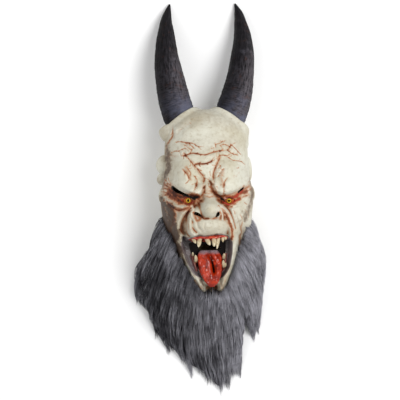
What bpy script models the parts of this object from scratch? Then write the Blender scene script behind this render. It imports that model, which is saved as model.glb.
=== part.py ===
"""Over-the-head latex horned mask, stored lying on its back.

Face up (+Z), horns to +Y, beard to -Y. The origin is on the flat spot at the back of the head.
All sizes below are in millimetres.
"""

import math

import bpy
import bmesh
import numpy as np
from mathutils import Vector
from mathutils.bvhtree import BVHTree

MM = 0.001

WALL = 3.5                  # thickness of the latex
GAP = 0.5                   # clearance between a glued-on piece and the latex
BEARD_GAP = 1.2             # the pelt's backing is looser
NECK_CLEARANCE = 4.0        # kept free of the pelt in front of the neck rim
HEAD_AXIS_HEIGHT = 110.0    # height of the head's long axis; the back is flat where it would go lower
SECTION_POWER = 2.2         # 2 is an ellipse, larger is squarer
HORN_BASE_RADIUS = 36.0
COLLAR_RISE = 8.0
COLLAR_WIDTH = 7.0
EYE_RADIUS = 13.0
MOUTH_EDGE_WIDTH = 5.0      # how far the mouth's wall slopes, in plan
INNER_REACH = 7.5           # how far beside a hollow of the face the inside stays clear of it

# One row per ring of the head, crown to neck rim:
# y at the front, y at the back, half width, depth in front of the axis, depth behind it
HEAD_PROFILE = np.array([
    (200, 200, 0, 0, 0),
    (196, 196, 28, 24, 26),
    (188, 188, 48, 44, 46),
    (176, 176, 64, 62, 64),
    (155, 155, 82, 80, 82),
    (125, 125, 90, 92, 96),
    (90, 90, 92, 98, 105),
    (50, 50, 95, 101, 112),
    (10, 10, 102, 102, 116),
    (-30, -30, 99, 100, 115),
    (-70, -68, 94, 96, 106),
    (-110, -96, 84, 87, 95),
    (-150, -118, 76, 70, 86),
    (-190, -140, 70, 46, 79),
    (-222, -158, 68, 30, 75),
], dtype=float)

# Where the rings and columns of facets run: front y of each ring, front x of each column
RING_Y = (
    197, 191, 183, 173, 161, 148, 134, 121, 109, 98, 88, 78, 69, 60, 52, 44, 37, 30, 24, 18,
    12, 6, 0, -6, -12, -18, -24, -30, -36, -42, -48, -54, -61, -68, -74, -79, -85, -92, -100,
    -109, -119, -129, -140, -151, -162, -173, -183, -192, -201, -211, -222,
)
COLUMN_X = (6, 12, 18, 24, 30, 36, 42, 48, 54, 60, 67, 75, 83)
SIDE_COLUMNS = 15
INNER_STEP = 2              # the inside has every second ring and every second column

# Rounded masses of the face: x, y, rise over the head, half width, half height, turn in degrees
MOUNDS = (
    (0, 92, 7, 52, 36, 0),
    (-51, 52, 21, 36, 44, 12),
    (46, 50, 21, 35, 44, -12),
    (0.6, -23.6, 45, 24, 22, 0),
    (-27, -29, 30, 15, 17, 10),
    (20, -30, 29, 13, 16, -10),
    (1, -54, 32, 56, 27, 0),
    (-66, -28, 15, 30, 38, 0),
    (64, -26, 14, 30, 38, 0),
)

# Raised folds: points (x, y, rise), then the width on the left and right of the line's direction
FOLDS = (
    (((-82, 42, 9), (-62, 33, 22), (-42, 23, 25), (-23, 15, 23)), 20, 10),
    (((80, 36, 9), (54, 25, 22), (33, 19, 25), (15, 22, 23)), 10, 20),
    (((-4, 26, 20), (-2, 2, 25), (1, -14, 35)), 15, 15),
    (((-35, -18, 25), (-38, -31, 29), (-33, -43, 30)), 6, 6),
    (((15, -18, 28), (25, -28, 28), (26, -42, 29)), 6, 6),
    (((-41, -14, 19), (-53, -25, 25), (-60, -38, 27), (-64, -56, 27), (-60, -74, 24)), 11, 11),
    (((-39, -23, 25), (-45, -47, 30), (-42, -65, 32), (-32, -74, 31)), 9, 9),
    (((24, -16, 24), (36, -30, 27), (44, -49, 29), (48, -67, 28), (49, -84, 24)), 10, 10),
    (((50, -22, 18), (57, -47, 20), (62, -70, 16)), 9, 9),
    (((-92, 10, 6), (-81, -4, 12), (-64, -14, 17), (-47, -10, 16), (-36, -6, 18)), 7, 7),
    (((88, 8, 6), (76, -6, 11), (62, -14, 15), (46, -12, 15), (33, -6, 17)), 7, 7),
    (((-64, -64, 24), (-60, -82, 20), (-55, -110, 22), (-42, -141, 24), (-25, -170, 25),
      (-13, -190, 22)), 8, 14),
    (((53, -70, 22), (52, -97, 21), (49, -125, 23), (41, -150, 25), (31, -174, 26),
      (26, -191, 23)), 14, 8),
    (((-13, -190, 22), (4, -187, 19), (26, -191, 23)), 8, 10),
)
FOLD_DROP = 24.0            # how far a fold falls over its own width
MOUND_DROP = 0.85           # share of its rise that a mound loses at its half width
BLEND = 7.0                 # softness where two forms meet

# Furrows: points (x, y), depth, half width
FURROWS = (
    (((-58, 94), (-34, 101), (-4, 95), (26, 104), (42, 105)), 3.5, 5),
    (((-29, 76), (-5, 77), (14, 84)), 3, 5),
    (((-68, 124), (-46, 123), (-13, 111), (7, 109), (26, 113), (46, 118)), 3, 5),
    (((-11, 45), (-9, 27), (-4, 14)), 4, 4),
    (((7, 45), (7, 25), (14, 10)), 4, 4),
    (((-89, -3), (-77, -13), (-66, -20), (-54, -17), (-43, -14)), 4, 5),
    (((-50, -26), (-54, -45), (-52, -64)), 6, 5),
    (((47, -20), (51, -40), (55, -62)), 5, 5),
)

MOUTH_OUTLINE = (
    (-58, -79), (-45, -75), (-30, -73), (-17, -72), (-3, -75), (11, -73), (23, -71), (35, -72),
    (44, -78), (47, -92), (45, -112), (36, -138), (30, -152), (25, -165), (16, -181), (3, -185),
    (-9, -180), (-20, -165), (-29, -151), (-41, -125), (-53, -98),
)
MOUTH_FLOOR = ((-70, 178), (-90, 170), (-110, 170), (-150, 172), (-190, 176))   # y, height
GUMS = (                    # points (x, y, height above the floor under the mask), width
    (((-44, -80, 214), (-27, -82, 216), (-5, -83, 217), (18, -81, 217), (40, -82, 214)), 5.5),
    (((-45, -110, 186), (-37, -127, 188), (-30, -145, 188), (-24, -160, 186)), 6.0),
    (((41, -110, 186), (35, -127, 188), (31, -144, 188), (27, -160, 186)), 6.0),
)

EARS = ((-1, 68, 14.0), (1, 68, 8.0))       # side, y, how far it stands out

# Holes right through the latex
EYE_SLITS = (
    (((-77, 30), (-68, 21), (-56, 15), (-46, 10)), 3.2),
    (((76, 25), (69, 20), (62, 16)), 2.2),
)
NOSTRILS = ((-25, -29.5, 7.5, 3.4, -30), (17, -31, 3.2, 4.2, 0))   # x, y, radii, turn
THROAT = (1, -103, 25, 8)                   # x, y, radii

# Horn centre line (x, y, z) and radius, for the left horn and the right one
HORN_LEFT = (
    (-40, 140, 104, 36), (-52, 175, 101, 36.5), (-63.6, 206.5, 98, 36.8), (-72.3, 246, 91, 35),
    (-79, 286, 80, 32), (-82.6, 326, 64, 27.2), (-82.7, 366, 44.5, 21.2), (-80.6, 405, 24.5, 13.6),
    (-76.8, 427, 13, 8.4), (-72.5, 446, 5, 2),
)
HORN_RIGHT = (
    (40, 138, 104, 36), (51, 172, 101, 36.2), (62.6, 204.4, 98, 36.3), (74.4, 244, 91, 33.7),
    (82.3, 285, 80, 29.9), (88, 326, 64, 26.4), (89.7, 366, 43.5, 20.7), (86.2, 405, 24, 13.6),
    (82.3, 427, 12.5, 8.6), (76.6, 446, 5, 2),
)
HORN_SIDES = 12
HORN_RINGS = 11

EYES = ((-44, 0), (43, -2))

# Beard: pairs of a root point on the jaw (x, y) and a tip point on the floor (x, y)
BEARD_LINES = (
    ((-97, -26), (-105, -42)), ((-92, -44), (-117, -90)), ((-82, -64), (-146, -121)),
    ((-74, -84), (-153, -147)), ((-69, -97), (-162, -199)), ((-64, -110), (-155, -233)),
    ((-55, -128), (-128, -257)), ((-46, -146), (-116, -303)), ((-36, -163), (-88, -340)),
    ((-27, -180), (-55, -366)), ((-17, -194), (-37, -393)), ((-4, -196), (1, -409)),
    ((8, -196), (27, -444)), ((20, -196), (45, -427)), ((31, -192), (74, -393)),
    ((37, -182), (81, -341)), ((42, -170), (83, -290)), ((47, -156), (104, -316)),
    ((51, -140), (117, -297)), ((56, -120), (120, -261)), ((60, -102), (121, -204)),
    ((66, -85), (133, -158)), ((74, -66), (128, -125)), ((84, -46), (114, -86)),
    ((92, -26), (101, -38)),
)
BEARD_STEPS = 10
BEARD_THICKNESS = 22.0
BEARD_TIP_THICKNESS = 6.0
BEARD_CHIN_RISE = 14.0      # how far the pelt stands up under the lower lip

TONGUE = (                  # centre line (x, y, height of the top), half width
    (1, -108, 188, 17), (1, -118, 193, 22), (1.5, -132, 197, 23.5), (3, -148, 199, 23),
    (5, -162, 200, 22), (6, -173, 200, 18), (6.5, -181, 198, 12), (7, -186, 196, 5),
)
TONGUE_DEPTH = 22.0
TONGUE_GROOVE = 5.0

# Teeth: root (x, y, z), tip (x, y, z), width at the root
UPPER_TEETH = (
    ((-36.6, -78, 214), (-29.7, -91.5, 219), 7.0),
    ((-21.0, -79, 216), (-24.2, -99.6, 221), 9.0),
    ((-6.4, -81, 217), (0.6, -95.8, 221), 9.0),
    ((10.3, -79, 217), (9.0, -98.8, 223), 9.5),
    ((20.6, -76, 217), (14.6, -104.1, 224), 6.0),
    ((30.2, -75, 216), (28.6, -89.6, 220), 9.0),
)
LOWER_TEETH = (
    ((-35.6, -119, 187), (-36.2, -111, 199), 4.2),
    ((-29.4, -131, 186), (-30.3, -117, 202), 7.0),
    ((30.6, -126, 187), (31.2, -114.7, 201), 6.5),
    ((31.6, -144, 186), (30.0, -130, 202), 7.6),
)


def smooth_max(first, second, blend=BLEND):
    """Larger of the two, rounded off where they meet."""
    share = np.maximum(blend - np.abs(first - second), 0.0) / blend
    return np.maximum(first, second) + share * share * blend * 0.25


def smooth_step(value):
    value = np.clip(value, 0.0, 1.0)
    return value * value * (3.0 - 2.0 * value)


def curve_points(points, steps=4):
    """Smooth curve through the points, with this many steps between two of them."""
    points = np.array(points, dtype=float)
    padded = np.vstack([2 * points[0] - points[1], points, 2 * points[-1] - points[-2]])
    result = []
    for i in range(len(points) - 1):
        a, b, c, d = padded[i:i + 4]
        for step in range(steps):
            t = step / steps
            result.append(0.5 * (2 * b + (c - a) * t + (2 * a - 5 * b + 4 * c - d) * t * t
                                 + (3 * b - a - 3 * c + d) * t ** 3))
    result.append(points[-1])
    return np.array(result)


def distance_to_curve(x, y, curve):
    """Distance from each point to the curve, the share along it, and the side (+1 is left)."""
    best = np.full(x.shape, 1e9)
    share = np.zeros(x.shape)
    side = np.ones(x.shape)
    count = len(curve) - 1
    for i in range(count):
        ax, ay = curve[i][0], curve[i][1]
        dx, dy = curve[i + 1][0] - ax, curve[i + 1][1] - ay
        t = np.clip(((x - ax) * dx + (y - ay) * dy) / (dx * dx + dy * dy), 0.0, 1.0)
        ox, oy = x - ax - t * dx, y - ay - t * dy
        distance = np.hypot(ox, oy)
        nearer = distance < best
        best = np.where(nearer, distance, best)
        share = np.where(nearer, (i + t) / count, share)
        side = np.where(nearer, np.where(dx * oy - dy * ox >= 0, 1.0, -1.0), side)
    return best, share, side


def value_along(share, curve, column):
    return np.interp(share, np.linspace(0, 1, len(curve)), curve[:, column])


def outline_distance(x, y, outline):
    """Distance to a closed outline: positive inside it, negative outside."""
    closed = np.array(list(outline) + [outline[0]], dtype=float)
    distance, _, _ = distance_to_curve(x, y, closed)
    inside = np.zeros(x.shape, dtype=bool)
    for (ax, ay), (bx, by) in zip(closed[:-1], closed[1:]):
        crosses = (ay > y) != (by > y)
        at = ax + (y - ay) * (bx - ax) / np.where(by == ay, 1e-9, by - ay)
        inside ^= crosses & (x < at)
    return np.where(inside, distance, -distance)


def face_relief(x, y, base):
    """How far the face stands out from the plain head, for points (x, y) at height base."""
    relief = np.zeros(x.shape)
    for cx, cy, rise, half_width, half_height, turn in MOUNDS:
        c, s = math.cos(math.radians(turn)), math.sin(math.radians(turn))
        u = ((x - cx) * c + (y - cy) * s) / half_width
        v = ((y - cy) * c - (x - cx) * s) / half_height
        relief = smooth_max(relief, rise * (1.0 - MOUND_DROP * (u * u + v * v)))
    for points, left, right in FOLDS:
        curve = curve_points(points)
        distance, share, side = distance_to_curve(x, y, curve)
        width = np.where(side > 0, left, right)
        rise = value_along(share, curve, 2)
        relief = smooth_max(relief, rise - FOLD_DROP * (distance / width) ** 2)
    for points, depth, half_width in FURROWS:
        distance, share, _ = distance_to_curve(x, y, curve_points(points))
        fade = smooth_step(share * 6) * smooth_step((1 - share) * 6)
        relief = relief - depth * fade * np.exp(-(distance / half_width) ** 2)
    inside = outline_distance(x, y, MOUTH_OUTLINE)
    open_share = smooth_step(inside / MOUTH_EDGE_WIDTH + 0.3)
    heights = np.array(MOUTH_FLOOR, dtype=float)[::-1]
    floor = np.interp(y, heights[:, 0], heights[:, 1]) - base
    relief = relief + (floor - relief) * open_share
    for points, width in GUMS:
        curve = curve_points(points)
        distance, share, _ = distance_to_curve(x, y, curve)
        top = value_along(share, curve, 2) - base
        relief = smooth_max(relief, top - FOLD_DROP * (distance / width) ** 2, 3.0)
    return relief


def spread_relief(x, y, base, reach, pick):
    """Relief picked from everything within reach: the lowest or the highest of it."""
    result = face_relief(x, y, base)
    for distance in (0.5 * reach, reach):
        for i in range(8):
            dx = distance * math.cos(i * math.pi / 4)
            dy = distance * math.sin(i * math.pi / 4)
            result = pick(result, face_relief(x + dx, y + dy, base))
    return result


def profile_rows(front_y):
    """Ring values at each front y, along a smooth curve through the profile."""
    curve = curve_points(HEAD_PROFILE, 8)
    order = curve[::-1]
    return np.stack([np.interp(front_y, order[:, 0], order[:, k]) for k in range(5)], axis=1)


def column_angles():
    """Angles of the columns, 0 at the front, close together over the face."""
    front = [math.asin((x / 97.0) ** (SECTION_POWER / 2)) for x in COLUMN_X]
    side = np.linspace(front[-1], 2 * math.pi - front[-1], SIDE_COLUMNS + 2)[1:-1]
    return np.array([0.0] + front + list(side) + [2 * math.pi - a for a in reversed(front)])


def signed_power(value, power):
    return np.sign(value) * np.abs(value) ** power


def head_grid(front_y, angles, offset):
    """Points of the plain head, moved out by offset (in, if it is negative)."""
    rows = profile_rows(np.asarray(front_y, dtype=float))
    power = 2.0 / SECTION_POWER
    cos = np.cos(angles)[None, :]
    sin = np.sin(angles)[None, :]
    half_width = np.maximum(rows[:, 2] + offset, 4.0)[:, None]
    front = np.maximum(rows[:, 3] + offset, 4.0)[:, None]
    back = np.maximum(rows[:, 4] + offset, 4.0)[:, None]
    x = half_width * signed_power(sin, power)
    depth = np.where(cos > 0, front, back)
    z = HEAD_AXIS_HEIGHT + depth * signed_power(cos, power)
    y = rows[:, 1][:, None] + (rows[:, 0] - rows[:, 1])[:, None] * (1 + cos) / 2
    y = y + offset * smooth_step((y - 120) / 70)
    return x, y, np.maximum(z, -offset), cos


def horn_curve(horn):
    return curve_points(horn, 6)


def collar_push(x, y, z):
    """How far the raised rings around the horns stand out at each point."""
    push = np.zeros(x.shape)
    for horn in (HORN_LEFT, HORN_RIGHT):
        nearest = np.full(x.shape, 1e9)
        for px, py, pz, _ in horn_curve(horn)[:18]:
            nearest = np.minimum(nearest, np.sqrt((x - px) ** 2 + (y - py) ** 2 + (z - pz) ** 2))
        from_horn = (nearest - HORN_BASE_RADIUS - 3.0) / COLLAR_WIDTH
        push = np.maximum(push, COLLAR_RISE * np.exp(-from_horn ** 2))
    return push * smooth_step((y - 110) / 40)


def ear_push(x, y, z):
    """How far the ears stand out sideways."""
    push = np.zeros(x.shape)
    for side, middle, rise in EARS:
        reach = ((y - middle) / 30) ** 2 + ((z - 112) / 13) ** 2
        push = push + side * rise * np.clip(1 - reach, 0, 1) ** 0.6 * (x * side > 0)
    return push


def head_points(front_y, angles, offset=0.0):
    """Grid of finished points: the outside, or a surface outside (+) or inside (-) of it."""
    x, y, z, cos = head_grid(front_y, angles, offset)
    if offset < 0:
        relief = spread_relief(x, y, z - offset, INNER_REACH, np.minimum)
    elif offset > 0:
        relief = spread_relief(x, y, z - offset, 1.5 * offset, np.maximum)
    else:
        relief = face_relief(x, y, z)
    z = z + relief * smooth_step(cos / 0.25)
    if offset >= 0:
        push = collar_push(x, y, z)
        outward = np.stack([x, y - 90.0, z - HEAD_AXIS_HEIGHT], axis=-1)
        outward = outward / np.linalg.norm(outward, axis=-1, keepdims=True)
        x = x + outward[..., 0] * push + ear_push(x, y, z)
        y = y + outward[..., 1] * push
        z = z + outward[..., 2] * push
    return np.stack([x, y, z], axis=-1)


def add_grid(bm, points, flip):
    """Add a grid that closes around its columns; returns its rings of vertices."""
    rings = [[bm.verts.new(p * MM) for p in row] for row in points]
    count = len(rings[0])
    for upper, lower in zip(rings[:-1], rings[1:]):
        for i in range(count):
            j = (i + 1) % count
            for corners in ((upper[i], lower[i], lower[j]), (upper[i], lower[j], upper[j])):
                bm.faces.new(corners[::-1] if flip else corners)
    return rings


def add_fan(bm, ring, centre, flip):
    middle = bm.verts.new(Vector(centre) * MM)
    for i, vert in enumerate(ring):
        pair = (vert, ring[(i + 1) % len(ring)])
        bm.faces.new((middle,) + (pair[::-1] if flip else pair))


def add_rim(bm, outside, inside):
    """Join a ring to one with half as many points."""
    count = len(outside)
    for k, vert in enumerate(inside):
        a, b, c = outside[2 * k], outside[2 * k + 1], outside[(2 * k + 2) % count]
        following = inside[(k + 1) % len(inside)]
        bm.faces.new((vert, a, b))
        bm.faces.new((vert, b, following))
        bm.faces.new((following, b, c))


def add_strip(bm, first, second, flip):
    """Join two rings of the same length."""
    count = len(first)
    for i in range(count):
        j = (i + 1) % count
        quad = (first[i], first[j], second[j], second[i])
        bm.faces.new(quad[::-1] if flip else quad)


def new_object(name, bm, colour, roughness):
    bmesh.ops.recalc_face_normals(bm, faces=bm.faces)
    mesh = bpy.data.meshes.new(name)
    bm.to_mesh(mesh)
    bm.free()
    obj = bpy.data.objects.new(name, mesh)
    bpy.context.scene.collection.objects.link(obj)
    material = bpy.data.materials.new(name)
    material.use_nodes = True
    surface = material.node_tree.nodes["Principled BSDF"]
    surface.inputs["Base Color"].default_value = (*colour, 1.0)
    surface.inputs["Roughness"].default_value = roughness
    mesh.materials.append(material)
    return obj


def cut(obj, cutter):
    """Take the cutter away from the object and keep the result as its own mesh."""
    modifier = obj.modifiers.new("cut", "BOOLEAN")
    modifier.operation = "DIFFERENCE"
    modifier.solver = "EXACT"
    modifier.object = cutter
    bpy.context.view_layer.update()
    evaluated = obj.evaluated_get(bpy.context.evaluated_depsgraph_get())
    mesh = bpy.data.meshes.new_from_object(evaluated)
    obj.modifiers.remove(modifier)
    obj.data = mesh


def remove(obj):
    bpy.data.objects.remove(obj, do_unlink=True)


def largest_island(obj):
    """Keep only the largest connected piece of the mesh."""
    bm = bmesh.new()
    bm.from_mesh(obj.data)
    left = set(bm.verts)
    islands = []
    while left:
        stack = [left.pop()]
        island = set(stack)
        while stack:
            for edge in stack.pop().link_edges:
                for vert in edge.verts:
                    if vert in left:
                        left.remove(vert)
                        island.add(vert)
                        stack.append(vert)
        islands.append(island)
    islands.sort(key=len)
    drop = [v for island in islands[:-1] for v in island]
    bmesh.ops.delete(bm, geom=drop, context="VERTS")
    bm.to_mesh(obj.data)
    bm.free()


def prism(outline, low, high):
    """Closed block with this outline, from height low to height high."""
    bm = bmesh.new()
    bottom = [bm.verts.new(Vector((x, y, low)) * MM) for x, y in outline]
    top = [bm.verts.new(Vector((x, y, high)) * MM) for x, y in outline]
    bm.faces.new(bottom[::-1])
    bm.faces.new(top)
    add_strip(bm, bottom, top, False)
    return new_object("cutter", bm, (0.5, 0.5, 0.5), 0.5)


def ellipse(cx, cy, rx, ry, turn=0, count=14):
    c, s = math.cos(math.radians(turn)), math.sin(math.radians(turn))
    result = []
    for i in range(count):
        u = rx * math.cos(2 * math.pi * i / count)
        v = ry * math.sin(2 * math.pi * i / count)
        result.append((cx + u * c - v * s, cy + u * s + v * c))
    return result


def slit_outline(points, half_width):
    """Lens-shaped outline along a bent line."""
    curve = curve_points(points, 3)
    way = np.gradient(curve, axis=0)
    way = way / np.linalg.norm(way, axis=1, keepdims=True)
    normal = np.stack([-way[:, 1], way[:, 0]], axis=1)
    share = np.linspace(0, 1, len(curve))
    swell = half_width * np.sqrt(np.clip(4 * share * (1 - share), 0.04, 1))[:, None]
    return [tuple(p) for p in curve + normal * swell] + \
           [tuple(p) for p in (curve - normal * swell)[::-1]]


def make_shell():
    angles = column_angles()
    bm = bmesh.new()
    outside = add_grid(bm, head_points(RING_Y, angles), False)
    inner_points = head_points(RING_Y[::INNER_STEP][1:], angles[::INNER_STEP], -WALL)
    inside = add_grid(bm, inner_points, True)
    add_fan(bm, outside[0], (0, 200, HEAD_AXIS_HEIGHT), False)
    add_fan(bm, inside[0], (0, 200 - WALL, HEAD_AXIS_HEIGHT), True)
    add_rim(bm, outside[-1], inside[-1])
    shell = new_object("mask_shell", bm, (0.82, 0.76, 0.63), 0.5)
    cutters = [prism(slit_outline(points, half), 140, 270) for points, half in EYE_SLITS]
    cutters += [prism(ellipse(x, y, rx, ry, turn), 195, 270) for x, y, rx, ry, turn in NOSTRILS]
    cutters.append(prism(ellipse(*THROAT, count=18), 120, 210))
    for cutter in cutters:
        cut(shell, cutter)
        remove(cutter)
    return shell


def make_head_block(gap):
    """Solid block of the head, gap larger than the latex, that trims what is glued on."""
    bm = bmesh.new()
    points = head_points(RING_Y, column_angles(), gap)
    points = np.concatenate([points, points[-1:] + (0.0, -NECK_CLEARANCE, 0.0)])
    rings = add_grid(bm, points, False)
    add_fan(bm, rings[0], (0, 200 + gap, HEAD_AXIS_HEIGHT), False)
    add_fan(bm, rings[-1], (0, -212, HEAD_AXIS_HEIGHT), True)
    return new_object("head_block", bm, (0.5, 0.5, 0.5), 0.5)


def tube(bm, centres, radii, sides, first_cap=True):
    """Closed round tube along the centres."""
    centres = np.array(centres, dtype=float)
    ways = np.gradient(centres, axis=0)
    rings = []
    for centre, way, radius in zip(centres, ways, radii):
        way = way / np.linalg.norm(way)
        across = np.cross(way, (0.0, 0.0, 1.0))
        across = across / np.linalg.norm(across)
        up = np.cross(across, way)
        ring = []
        for i in range(sides):
            angle = 2 * math.pi * i / sides
            point = centre + radius * (math.cos(angle) * across + math.sin(angle) * up)
            ring.append(bm.verts.new(Vector(point) * MM))
        rings.append(ring)
    for first, second in zip(rings[:-1], rings[1:]):
        add_strip(bm, first, second, False)
    bm.faces.new(rings[0][::-1])
    bm.faces.new(rings[-1])


def make_horn(name, horn):
    curve = horn_curve(horn)
    share = np.linspace(0, 1, HORN_RINGS + 1)
    rows = np.stack([np.interp(share, np.linspace(0, 1, len(curve)), curve[:, k])
                     for k in range(4)], axis=1)
    bm = bmesh.new()
    tube(bm, rows[:, :3], rows[:, 3], HORN_SIDES)
    return new_object(name, bm, (0.035, 0.035, 0.04), 0.45)


def surface_height(tree, x, y):
    hit, _, _, _ = tree.ray_cast(Vector((x, y, 400)) * MM, Vector((0, 0, -1)))
    return hit.z / MM if hit else 60.0


def beard_points(tree):
    """Upper and lower skin of the pelt as grids of points, one row per root-to-tip line."""
    count = len(BEARD_LINES)
    upper = np.zeros((count, BEARD_STEPS + 1, 3))
    for i, (root, tip) in enumerate(BEARD_LINES):
        chin = 1.0 - min(abs(i - 12.0) / 8.0, 1.0)
        start = surface_height(tree, *root) + 2.0 + BEARD_CHIN_RISE * chin
        hang = 1.6 - 0.6 * chin
        fall = 0.9 + 0.45 * chin
        for j in range(BEARD_STEPS + 1):
            t = j / BEARD_STEPS
            upper[i, j, 0] = root[0] + (tip[0] - root[0]) * t
            upper[i, j, 1] = root[1] + (tip[1] - root[1]) * t
            upper[i, j, 2] = 7.0 + (start - 7.0) * max(1 - t ** hang, 0.0) ** fall
    along = np.gradient(upper, axis=1)
    across = np.gradient(upper, axis=0)
    normal = np.cross(along, across)
    normal = normal / np.linalg.norm(normal, axis=2, keepdims=True)
    normal = normal * np.where(normal[..., 2:3] < 0, -1.0, 1.0)
    share = np.linspace(0, 1, BEARD_STEPS + 1)[None, :, None]
    thickness = BEARD_TIP_THICKNESS + (BEARD_THICKNESS - BEARD_TIP_THICKNESS) * (1 - share) ** 0.6
    lower = upper - normal * thickness
    lower[:, -1, :2] = upper[:, -1, :2]
    lower[..., 2] = np.maximum(lower[..., 2], 0.0)
    return upper, lower


def make_beard(tree):
    upper, lower = beard_points(tree)
    bm = bmesh.new()
    top = [[bm.verts.new(p * MM) for p in row] for row in upper]
    bottom = [[bm.verts.new(p * MM) for p in row] for row in lower]
    for grid in (top, bottom):
        for first, second in zip(grid[:-1], grid[1:]):
            for j in range(BEARD_STEPS):
                bm.faces.new((first[j], first[j + 1], second[j + 1], second[j]))
    border_top = top[0] + [row[-1] for row in top[1:]] + top[-1][-2::-1] + \
        [row[0] for row in top[-2:0:-1]]
    border_bottom = bottom[0] + [row[-1] for row in bottom[1:]] + bottom[-1][-2::-1] + \
        [row[0] for row in bottom[-2:0:-1]]
    add_strip(bm, border_top, border_bottom, False)
    return new_object("beard", bm, (0.33, 0.33, 0.35), 0.8)


def make_tongue():
    bm = bmesh.new()
    rings = []
    for x, y, top, half_width in TONGUE:
        ring = []
        for i in range(12):
            angle = 2 * math.pi * i / 12
            across, up = math.sin(angle), math.cos(angle)
            depth = 9.0 if up > 0 else TONGUE_DEPTH - 9.0
            height = top - 9.0 + depth * signed_power(up, 0.8)
            height -= TONGUE_GROOVE * math.exp(-(across / 0.2) ** 2) * (up > 0)
            point = (x + half_width * signed_power(across, 0.8), y, height)
            ring.append(bm.verts.new(Vector(point) * MM))
        rings.append(ring)
    for first, second in zip(rings[:-1], rings[1:]):
        add_strip(bm, first, second, False)
    bm.faces.new(rings[0])
    bm.faces.new(rings[-1][::-1])
    return new_object("tongue", bm, (0.6, 0.1, 0.06), 0.25)


def make_eye(name, place, tree):
    x, y = place
    height = surface_height(tree, x, y)
    bm = bmesh.new()
    bmesh.ops.create_uvsphere(bm, u_segments=16, v_segments=10, radius=EYE_RADIUS * MM)
    bmesh.ops.translate(bm, verts=bm.verts, vec=Vector((x, y, height - 2.0)) * MM)
    return new_object(name, bm, (0.8, 0.62, 0.08), 0.15)


def make_tooth(name, root, tip, width):
    """Tapered, slightly bent peg."""
    root, tip = np.array(root, dtype=float), np.array(tip, dtype=float)
    middle = (root + tip) / 2 + np.array((0.0, 0.0, 1.5))
    centres = curve_points((root, middle, tip), 2)
    radii = np.array((1.0, 0.97, 0.84, 0.58, 0.22)) * width / 2
    bm = bmesh.new()
    tube(bm, centres, radii, 6)
    return new_object(name, bm, (0.83, 0.76, 0.58), 0.3)


def main():
    for obj in list(bpy.data.objects):
        bpy.data.objects.remove(obj, do_unlink=True)

    make_shell()
    block = make_head_block(GAP)
    loose_block = make_head_block(BEARD_GAP)
    bpy.context.view_layer.update()
    tree = BVHTree.FromObject(block, bpy.context.evaluated_depsgraph_get())

    glued = [
        make_horn("horn_left", HORN_LEFT),
        make_horn("horn_right", HORN_RIGHT),
        make_beard(tree),
        make_tongue(),
        make_eye("eye_left", EYES[0], tree),
        make_eye("eye_right", EYES[1], tree),
    ]
    for number, tooth in enumerate(UPPER_TEETH, 1):
        glued.append(make_tooth(f"upper_tooth_{number}", *tooth))
    for number, tooth in enumerate(LOWER_TEETH, 1):
        glued.append(make_tooth(f"lower_tooth_{number}", *tooth))
    for obj in glued:
        cut(obj, loose_block if obj.name == "beard" else block)
        largest_island(obj)
    remove(block)
    remove(loose_block)


main()
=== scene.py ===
"""A horned folklore mask of painted latex with a long fur beard, lying on its back.

Face up (+Z), horns to +Y, beard to -Y. Sizes are in millimetres until a mesh is made.
"""
import math

import bmesh
import bpy
import numpy as np
from mathutils import Matrix, Vector
from mathutils.bvhtree import BVHTree


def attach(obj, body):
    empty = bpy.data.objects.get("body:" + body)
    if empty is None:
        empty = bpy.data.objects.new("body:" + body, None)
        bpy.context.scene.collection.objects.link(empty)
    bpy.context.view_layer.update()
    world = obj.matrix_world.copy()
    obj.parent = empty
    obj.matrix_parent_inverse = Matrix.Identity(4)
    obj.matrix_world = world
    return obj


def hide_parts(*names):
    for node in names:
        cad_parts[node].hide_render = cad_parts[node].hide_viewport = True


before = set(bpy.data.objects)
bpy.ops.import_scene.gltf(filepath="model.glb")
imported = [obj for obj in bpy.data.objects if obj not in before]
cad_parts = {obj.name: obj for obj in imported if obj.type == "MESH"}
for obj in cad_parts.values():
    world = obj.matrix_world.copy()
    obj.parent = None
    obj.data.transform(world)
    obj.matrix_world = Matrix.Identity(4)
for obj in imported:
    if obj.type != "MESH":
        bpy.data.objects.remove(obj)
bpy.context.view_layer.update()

MM = 0.001

# The latex head

WALL = 3.5
INNER_REACH = 5.0           # how far beside a hollow of the face the inside stays clear of it
HEAD_AXIS_HEIGHT = 110.0
NECK_RIM = -222.0
SECTION_POWER = 2.2
HORN_BASE_RADIUS = 36.0
COLLAR_RISE = 8.0
COLLAR_WIDTH = 7.0
MOUTH_EDGE_WIDTH = 5.0

# y at the front, y at the back, half width, depth in front of the axis, depth behind it
HEAD_PROFILE = np.array([
    (200, 200, 0, 0, 0),
    (196, 196, 28, 24, 26),
    (188, 188, 48, 44, 46),
    (176, 176, 64, 62, 64),
    (155, 155, 82, 80, 82),
    (125, 125, 90, 92, 96),
    (90, 90, 92, 98, 105),
    (50, 50, 95, 101, 112),
    (10, 10, 102, 102, 116),
    (-30, -30, 99, 100, 115),
    (-70, -68, 94, 96, 106),
    (-110, -96, 84, 87, 95),
    (-150, -118, 76, 70, 86),
    (-190, -140, 70, 46, 79),
    (-222, -158, 68, 30, 75),
], dtype=float)

# Rounded masses: x, y, rise over the head, half width, half height, turn in degrees
MOUNDS = (
    (0, 92, 7, 52, 36, 0),
    (-51, 50, 26, 35, 42, 12),
    (46, 49, 26, 34, 42, -12),
    (2.0, -21.5, 46, 26, 25, 0),
    (-27, -29, 30, 15, 17, 10),
    (20, -30, 29, 13, 16, -10),
    (-2, -54, 33, 58, 28, 0),
    (-66, -28, 15, 30, 38, 0),
    (64, -26, 14, 30, 38, 0),
)

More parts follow.
